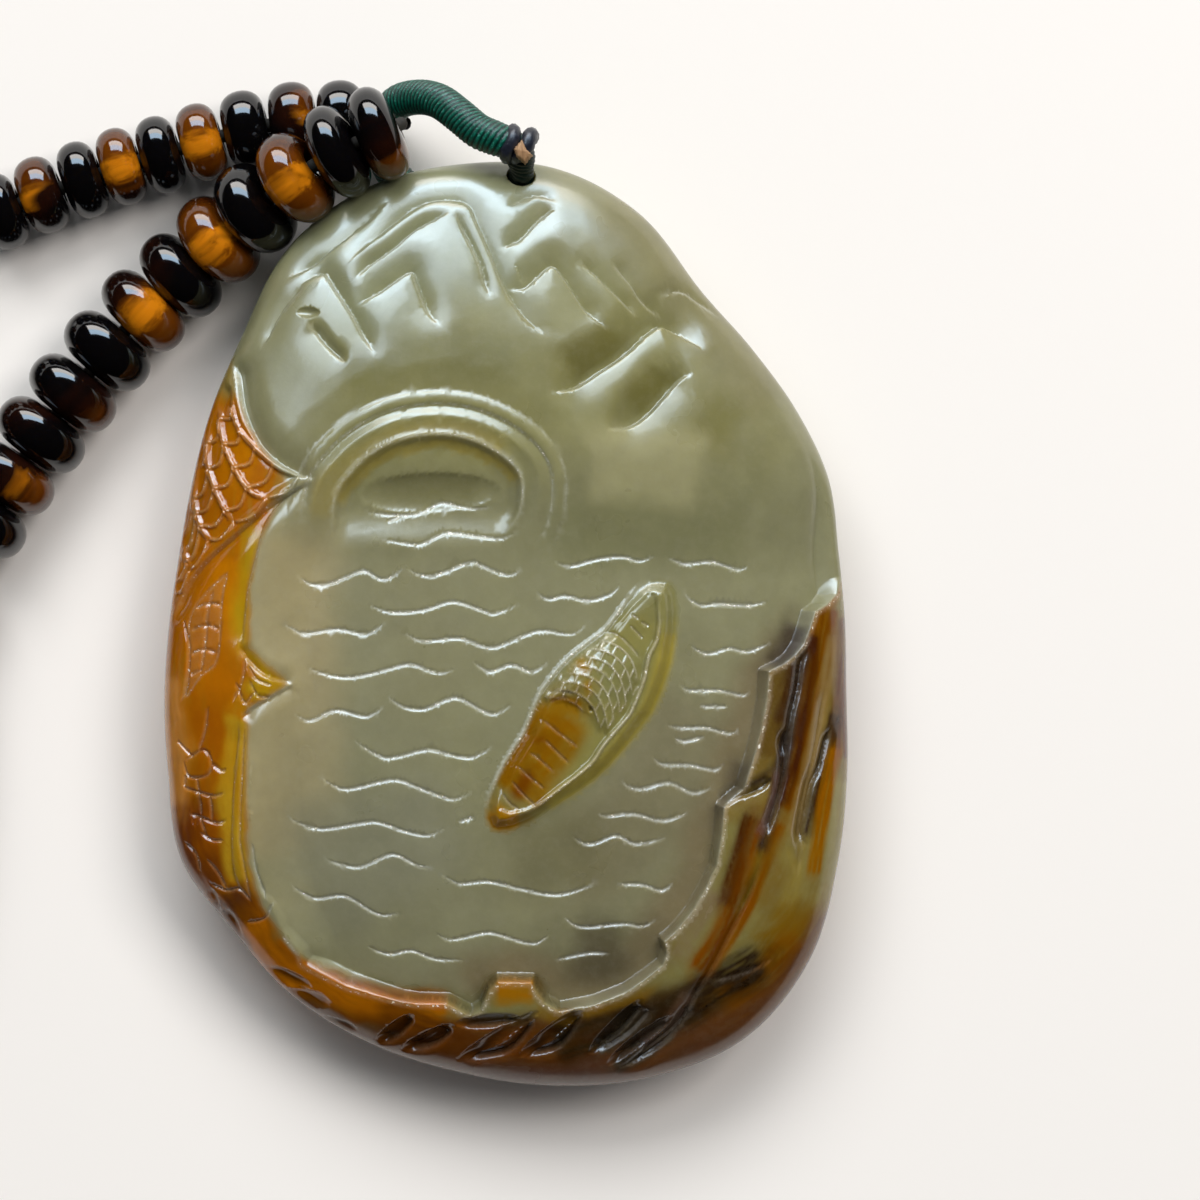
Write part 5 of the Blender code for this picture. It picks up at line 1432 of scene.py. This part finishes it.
def rest_of_strand(upper, lower, seen):
    """The part that the photo doesn't show, from the upper strand round to the lower."""
    lead_in = [upper[-1] + (upper[-1] - upper[-2]).normalized() * LEAD_IN_STEP]
    lead_in += [Vector(p) for p in LEAD_IN]
    lead_out = [Vector(p) for p in LEAD_OUT]
    lead_out.append(lower[-1] + (lower[-1] - lower[-2]).normalized() * LEAD_OUT_STEP)
    start = COIL_CENTRE + Vector((COIL_INNER, 0.0, 0.0))
    end = COIL_CENTRE + Vector((COIL_OUTER, 0.0, 0.0))
    half = 0.5 * (COIL_OUTER - COIL_INNER)
    straight = seen + walked(lead_in + [start]) + walked([end] + lead_out)
    rest = NECKLACE_LENGTH - straight - math.pi * half
    turned = math.degrees(rest / (COIL_INNER + COIL_OUTER))
    last = math.radians(-turned)
    radial = Vector((math.cos(last), math.sin(last), 0.0))
    onward = Vector((math.sin(last), -math.cos(last), 0.0))
    hub = COIL_CENTRE + 0.5 * (COIL_INNER + COIL_OUTER) * radial
    bend = []
    for angle in (-45.0, 0.0, 45.0):
        a = math.radians(angle)
        bend.append(hub + half * (math.sin(a) * radial + math.cos(a) * onward))
    route = (lead_in + coil_route(COIL_INNER, 0.0, -turned) + bend
             + coil_route(COIL_OUTER, -turned, 0.0) + lead_out)
    for point, share in zip(route, np.linspace(0.0, 1.0, len(route))):
        radius = UPPER_RADIUS + (LOWER_RADIUS - UPPER_RADIUS) * float(ease(share))
        point.z = radius + CLEAR_OF_FLOOR
    return route


def tube_faces(rings, sides, flip=False):
    """Quads of a tube made of rings of points, the last ring joined to the first."""
    faces = []
    for i in range(rings):
        here, there = i * sides, (i + 1) % rings * sides
        for k in range(sides):
            following = (k + 1) % sides
            quad = (here + k, there + k, there + following, here + following)
            faces.append((quad[0], *quad[:0:-1]) if flip else quad)
    return faces


def bead_points(radius, thickness, around, steps):
    """A drilled rondelle about the Z axis: rings of points and its quads."""
    bore = 0.5 * BEAD_BORE
    half = 0.5 * thickness
    profile = []
    for share in np.linspace(0.0, 1.0, steps):
        angle = math.pi * (share - 0.5)
        along = half * math.copysign(abs(math.sin(angle)) ** BEAD_SIDE_POWER, math.sin(angle))
        out = bore + BORE_ROUNDING
        out += (radius - bore - BORE_ROUNDING) * math.cos(angle) ** BEAD_RIM_POWER
        profile.append((along, out))
    profile += [(0.94 * half, bore), (0.5 * half, bore - 0.04), (-0.5 * half, bore - 0.04),
                (-0.94 * half, bore)]
    turns = np.linspace(0.0, 2.0 * math.pi, around, endpoint=False)
    points = [(out * math.cos(t), out * math.sin(t), along) for t in turns
              for along, out in profile]
    return np.array(points), tube_faces(around, len(profile))


def add_mesh(name, points, faces, material):
    mesh = bpy.data.meshes.new(name)
    mesh.from_pydata([tuple(p) for p in np.array(points) * MM], [], faces)
    mesh.polygons.foreach_set("use_smooth", [True] * len(mesh.polygons))
    mesh.materials.append(material)
    made = bpy.data.objects.new(name, mesh)
    bpy.context.scene.collection.objects.link(made)
    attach(made, "root")
    return made


def mark(made, name, values):
    """Values kept with each point of a mesh: one number, or three."""
    values = np.array(values, dtype=np.float32)
    kind, field = ("FLOAT", "value") if values.ndim == 1 else ("FLOAT_VECTOR", "vector")
    layer = made.data.attributes.new(name, kind, "POINT")
    layer.data.foreach_set(field, values.ravel())


# The way up across each bead: its painted glow band lies there, and its amber darkens away from it
# as painted shade.
BAND_LEAN = Vector((0.0, -0.16, 0.987))


def placed_bead(centre, axis, radius, thickness, look, around=44, steps=15):
    """One bead's points in place, its quads, its marks for amber and its painted glow, and its
    grain.
    """
    points, faces = bead_points(radius, thickness, around, steps)
    axis = axis.normalized()
    matrix = np.array(axis.to_track_quat("Z", "Y").to_matrix())
    spun = points @ matrix.T
    placed = spun + np.array(centre)
    share, (dx, dy) = look
    lean = spun @ np.array((dx, dy, 0.1)) / (math.hypot(dx, dy) * radius)
    amber = lean + 2.6 * (share - 0.5)
    if share <= 0.0:
        amber = np.full(len(placed), -3.0)
    if share >= 1.0:
        amber = np.full(len(placed), 3.0)
    up = (BAND_LEAN - BAND_LEAN.dot(axis) * axis).normalized()
    out = np.maximum(np.linalg.norm(points[:, :2], axis=1), 0.1)
    glow = spun @ np.array(up) / out
    grain = points * np.array((1.0, 1.0, 0.12)) + 7.3 * np.array(centre)[:1]
    return placed, faces, np.stack([amber, glow, np.zeros(len(placed))], axis=1), grain


def bead_material(name):
    paint = Nodes(name)
    marks = paint.add("ShaderNodeSeparateXYZ")
    paint.tree.links.new(paint.attribute("bead_marks", "Vector"), marks.inputs[0])
    grain = paint.attribute("bead_grain", "Vector")
    drift = paint.noise(0.55, 2.0, 0.5, 0.8, place=grain)
    streak = paint.noise(2.2, 3.0, 0.6, place=grain)
    lean = paint.math("ADD", marks.outputs["X"],
                      paint.math("MULTIPLY", paint.math("SUBTRACT", drift, 0.5), 1.5))
    share = paint.ramp(lean, -0.16, 0.26)
    glow = paint.math("ADD", marks.outputs["Y"],
                      paint.math("MULTIPLY", paint.math("SUBTRACT", streak, 0.5), 0.22))
    # Painted light: a glow band on each bead's upper side, and amber that darkens toward its edges
    # as painted shade.
    band = paint.ramp(glow, 0.90, 1.0)
    body = paint.ramp(glow, -0.1, 0.86)
    gold = paint.mix(body, tone(34, 12, 3), tone(98, 50, 5))
    gold = paint.mix(band, gold, tone(198, 120, 16))
    gold = paint.mix(paint.ramp(drift, 0.48, 0.72, 0.0, 0.6), gold, tone(52, 20, 4))
    rim = paint.ramp(lean, -0.9, -0.1)
    black = paint.mix(rim, tone(7, 6, 7), tone(30, 12, 6))
    paint.set("Base Color", paint.mix(share, black, gold))
    paint.set("Roughness", 0.09)
    paint.set("IOR", 1.56)
    paint.set("Subsurface Weight", 0.25)
    paint.set("Subsurface Radius", (1.0, 0.5, 0.15))
    paint.set("Subsurface Scale", 0.0006)
    return paint.material


def make_beads():
    """The beads that the photo shows, each a piece, and the rest as one piece."""
    look = bead_material("bead_horn")
    upper = [Vector((x, y, UPPER_RADIUS + CLEAR_OF_FLOOR)) for x, y in UPPER_BEADS]
    lower = [Vector(p) for p in LOWER_BEADS]
    for prefix, centres, radius, looks in (("upper", upper, UPPER_RADIUS, UPPER_LOOKS),
                                           ("lower", lower, LOWER_RADIUS, LOWER_LOOKS)):
        for i, centre in enumerate(centres):
            ahead = centres[min(i + 1, len(centres) - 1)]
            behind = centres[max(i - 1, 0)]
            gaps = [(other - centre).length for other in (ahead, behind) if other != centre]
            points, faces, marks, grain = placed_bead(centre, ahead - behind, radius,
                                                      min(gaps) - BEAD_GAP, looks[i])
            node = f"{prefix}_bead_{i + 1:02d}"
            bead = add_mesh(f"bead_{prefix}_{i + 1:02d}", points, faces, look)
            mark(bead, "bead_marks", marks)
            mark(bead, "bead_grain", grain)
            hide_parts(node)

    turn = [Vector(p) for p in THREAD_TURN]
    seen = spread(upper[::-1] + turn[::-1] + lower, 1.7)
    rest = rest_of_strand(upper, lower, walked(seen))
    line = spread(rest, 0.5)
    all_points, all_faces, all_marks, all_grain = [], [], [], []
    draw = np.random.default_rng(5)
    passed = REST_ENDS
    total = walked(line)
    step_at = total / (len(line) - 1)
    while passed < total - REST_ENDS:
        share = float(ease(passed / total))
        radius = UPPER_RADIUS + (LOWER_RADIUS - UPPER_RADIUS) * share - REST_TRIM
        thickness = REST_THICKNESS[0] * radius + REST_THICKNESS[1]
        middle = passed + 0.5 * thickness
        if middle > total - REST_LAST:
            break
        index = min(int(middle / step_at), len(line) - 2)
        centre = line[index].lerp(line[index + 1], middle / step_at - index)
        axis = line[min(index + 2, len(line) - 1)] - line[max(index - 2, 0)]
        centre.z = radius + CLEAR_OF_FLOOR
        axis.z = 0.0
        kind = draw.random()
        angle = 2.0 * math.pi * draw.random()
        amount = 0.0
        if kind >= DARK_SHARE:
            amount = 1.0 if kind > MIXED_SHARE else draw.uniform(0.2, 0.7)
        points, faces, marks, grain = placed_bead(
            centre, axis, radius, thickness - REST_GAP,
            (amount, (math.cos(angle), math.sin(angle))), REST_AROUND, REST_STEPS)
        start = sum(len(p) for p in all_points)
        all_points.append(points)
        all_faces += [tuple(start + k for k in face) for face in faces]
        all_marks.append(marks)
        all_grain.append(grain)
        passed += thickness
    coil = add_mesh("bead_strand_rest", np.concatenate(all_points), all_faces, look)
    mark(coil, "bead_marks", np.concatenate(all_marks))
    mark(coil, "bead_grain", np.concatenate(all_grain))
    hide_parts("strand_put_away")
    make_thread(upper, lower, turn, rest)


def make_thread(upper, lower, turn, rest):
    """One thread, from the bail through every bead and back to the bail."""
    route = turn[3:] + upper + rest + lower[::-1] + turn[:2]
    line = spread(route, 1.4)
    data = bpy.data.curves.new("necklace_cord", "CURVE")
    data.dimensions = "3D"
    data.bevel_depth = 0.5 * THREAD_DIAMETER * MM
    data.bevel_resolution = 3
    spline = data.splines.new("POLY")
    spline.points.add(len(line) - 1)
    for slot, point in zip(spline.points, line):
        slot.co = (*(point * MM), 1.0)
    cord = bpy.data.objects.new("necklace_cord", data)
    bpy.context.scene.collection.objects.link(cord)
    paint = Nodes("dark_thread")
    ply = paint.noise(2400.0, 2.0)
    paint.set("Base Color", paint.mix(ply, (0.010, 0.012, 0.010), (0.05, 0.04, 0.03)))
    paint.set("Roughness", 0.8)
    paint.bump(ply, 0.4, 0.00008)
    data.materials.append(paint.material)
    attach(cord, "root")
    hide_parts("necklace_thread")


# Bail: a cord wound over with thread, its dark binding and its cut end.

BAIL_DIAMETER = 2.1
BAIL_DIAMETER_IN_HOLE = 1.42
NECK = Vector((0.90, 27.95, 8.0))
NECK_SHARE = 0.22
BAIL_ROUTE = (
    (0.86, 27.98, 8.15), (0.1, 28.22, 8.2), (-0.7, 28.52, 8.05), (-1.6, 28.95, 7.7),
    (-2.7, 29.9, 7.05), (-3.9, 30.83, 6.1), (-5.2, 31.19, 4.9), (-6.5, 30.93, 3.75),
    (-7.2, 29.8, 3.15), (-7.3, 28.2, 2.6), (-6.7, 26.8, 1.8), (-5.4, 25.6, 1.35),
    (-3.6, 24.6, 1.10), (-1.8, 24.0, 1.07), (-0.6, 23.7, 1.10),
)
WHIP_PITCH = 0.29
WHIP_RISE = 0.10
WHIP_STARTS = 5
WHIP_SIDES = 36
WHIP_ROUNDNESS = 0.7
# How far past each mouth of the hole the cord goes on straight, and where it thickens.
HOLE_PAST_BACK = 0.35
HOLE_PAST_FRONT = 0.5
THICKEN_START = 0.55
THICKEN_OVER = 1.1
NECK_REACH = 0.9
# Shadow painted on the cord's way into the hole: share, level up the picture, fading.
SHADOW = 0.9
SHADOW_LEVEL = 28.15
SHADOW_FADE = 0.3


def frames_along(route):
    """Directions across a closed route that turn with it and close on themselves."""
    count = len(route)
    forward = [(route[(i + 1) % count] - route[i - 1]).normalized() for i in range(count)]
    side = forward[0].orthogonal().normalized()
    sides = [side]
    for before, now in zip(forward[:-1], forward[1:]):
        side = (before.rotation_difference(now) @ side).normalized()
        sides.append(side)
    last = (forward[-1].rotation_difference(forward[0]) @ side).normalized()
    twist = last.angle(sides[0])
    if last.cross(sides[0]).dot(forward[0]) < 0.0:
        twist = -twist
    turned = []
    for i, (f, s) in enumerate(zip(forward, sides)):
        angle = twist * i / count
        s = (math.cos(angle) * s + math.sin(angle) * f.cross(s)).normalized()
        turned.append((f, s, f.cross(s)))
    return turned


def make_bail():
    """The loop of cord through the hole and round the thread, with its winding as ridges."""
    front, back = Vector(HOLE_FRONT.tolist()), Vector(HOLE_BACK.tolist())
    along = (front - back).normalized()
    outside = [Vector(p) for p in BAIL_ROUTE]
    loop = outside + [back - HOLE_PAST_BACK * along, back, 0.5 * (back + front), front,
                      front + HOLE_PAST_FRONT * along]
    line = spread(loop + loop[:1], 0.05)[:-1]
    turns = frames_along(line)
    points, heights = [], []
    passed = 0.0
    length = walked(line + line[:1])
    pitch = length / round(length / WHIP_PITCH)
    for point, (_, side, up) in zip(line, turns):
        share = (point - back).dot(along)
        off_axis = (point - back - share * along).length
        outside_by = max(-share, share - (front - back).length, off_axis)
        thicker = float(ease((outside_by - THICKEN_START) / THICKEN_OVER))
        radius = 0.5 * (BAIL_DIAMETER_IN_HOLE
                        + (BAIL_DIAMETER - BAIL_DIAMETER_IN_HOLE) * thicker)
        neck = math.exp(-((point - NECK).length / NECK_REACH) ** 2)
        radius *= 1.0 - NECK_SHARE * neck
        shadow = 1.0
        if point.z > 5.0 and point.x > 0.0:
            shadow -= SHADOW * float(ease((SHADOW_LEVEL - point.y) / SHADOW_FADE))
        for k in range(WHIP_SIDES):
            angle = 2.0 * math.pi * k / WHIP_SIDES
            turn = passed / pitch + WHIP_STARTS * k / WHIP_SIDES
            round_top = abs(math.sin(math.pi * turn)) ** WHIP_ROUNDNESS
            points.append(point + (radius + WHIP_RISE * (round_top - 1.0))
                          * (math.cos(angle) * side + math.sin(angle) * up))
            # Painted light and shade for the winding: lighter on each thread's top, darker between,
            # times the painted shadow.
            heights.append(round_top * shadow)
        passed += length / len(line)
    faces = tube_faces(len(line), WHIP_SIDES, flip=True)
    bail = add_mesh("bail_whipped_cord", points, faces, whipping_material())
    mark(bail, "thread_light_and_shadow", heights)
    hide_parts("cord_bail")


def whipping_material():
    paint = Nodes("whipped_thread")
    top = paint.attribute("thread_light_and_shadow", "Fac")
    ply = paint.noise(4200.0, 3.0, 0.65, 1.2)
    # Painted light and shade: thread tops lit teal, the grooves between them dark.
    lit = paint.math("MULTIPLY", paint.ramp(top, 0.35, 1.0), paint.ramp(ply, 0.32, 0.68, 0.35, 1.0))
    colour = paint.mix(lit, tone(1, 24, 20), tone(8, 106, 86))
    # Painted glints on the thread tops.
    thread_glint = paint.math("MULTIPLY", paint.ramp(ply, 0.60, 0.72), paint.ramp(top, 0.7, 1.0))
    paint.set("Base Color", paint.mix(paint.math("MULTIPLY", thread_glint, 0.7), colour,
                                      tone(110, 205, 190)))
    paint.set("Roughness", 0.38)
    paint.bump(ply, 0.6, 0.00008)
    return paint.material


# Binding: strands laid round the bail where it turns down into the hole.

# Each strand's middle, axis, radius and half thickness.
STRANDS = (
    ((0.34, 28.12, 8.15), (-0.95, 0.30, 0.05), 0.78, 0.43),
    ((1.16, 27.98, 8.05), (-0.84, 0.54, 0.10), 0.78, 0.46),
)


def ring_strand(centre, axis, radius, half, around=64, sides=14):
    """A thick strand laid in a closed ring, a little uneven along its way."""
    axis = Vector(axis).normalized()
    first = axis.orthogonal().normalized()
    second = axis.cross(first)
    points = []
    for i in range(around):
        turn = 2.0 * math.pi * i / around
        out = math.cos(turn) * first + math.sin(turn) * second
        wander = 0.07 * math.sin(3.0 * turn + centre[0] * 9.0)
        for k in range(sides):
            angle = 2.0 * math.pi * k / sides
            ply = 1.0 + 0.06 * math.cos(5.0 * (angle + 1.6 * turn))
            points.append(Vector(centre) + (radius + half * ply * math.cos(angle)) * out
                          + (half * ply * math.sin(angle) + wander) * axis)
    return points, tube_faces(around, sides)


def make_knot():
    """The dark binding over the bail's neck."""
    points, faces = [], []
    for strand in STRANDS:
        ring, quads = ring_strand(*strand)
        faces += [tuple(len(points) + k for k in quad) for quad in quads]
        points += ring
    paint = Nodes("dark_binding")
    fibre = paint.noise(2600.0, 3.0, 0.7, 0.8)
    paint.set("Base Color", paint.mix(fibre, tone(5, 6, 9), tone(44, 48, 62)))
    paint.set("Roughness", 0.30)
    paint.bump(fibre, 0.6, 0.00008)
    knot = add_mesh("binding_strands", points, faces, paint.material)
    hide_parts("bail_binding")
    make_cut_end()


END_CORNERS = ((1.04, 28.34), (0.52, 27.76), (0.70, 27.22), (1.24, 26.82), (1.68, 27.38),
               (1.32, 27.72))
END_TOP = 9.62
END_DEPTH = 1.5


def make_cut_end():
    """The cord's cut end: a six-cornered stub, rounded at the cut and frayed a little."""
    corners = [Vector((x, y, END_TOP)) for x, y in END_CORNERS]
    middle = sum(corners, Vector()) / len(corners)
    rings, per_side = 10, 8
    points = []
    for i in range(rings + 1):
        share = i / rings
        size = math.sqrt(max(0.0, 1.0 - (1.0 - min(share / 0.45, 1.0)) ** 2)) if i else 0.02
        drop = END_DEPTH * share ** 1.5
        for side in range(len(corners)):
            for k in range(per_side):
                edge = corners[side].lerp(corners[(side + 1) % len(corners)], k / per_side)
                out = (edge - middle) * (0.92 + 0.05 * math.sin(2.3 * k + 5.0 * side))
                fray = 0.03 * math.sin(11.0 * k + 3.0 * i + side)
                points.append(middle + size * out + Vector((0.0, 0.0, fray - drop)))
    count = len(corners) * per_side
    faces = tube_faces(rings + 1, count)[:-count]
    faces.append(tuple(range(count)))
    faces.append(tuple(range(rings * count + count - 1, rings * count - 1, -1)))
    paint = Nodes("cut_cord_end")
    strands = paint.noise(1.0, 3.0, 0.7, place=paint.stretched((5200.0, 1500.0, 1500.0),
                                                               (0.0, 0.0, 30.0)))
    paint.set("Base Color", paint.mix(strands, tone(112, 76, 46), tone(202, 164, 122)))
    paint.set("Roughness", 0.7)
    paint.bump(strands, 0.6, 0.0001)
    stub = add_mesh("cord_cut_end", points, faces, paint.material)
    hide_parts("cord_end")


def main():
    make_camera()
    stone_only = bpy.data.collections.new("stone_only")
    make_surroundings(stone_only)
    make_beads()
    make_bail()
    make_knot()
    stone_only.objects.link(make_stone())


main()
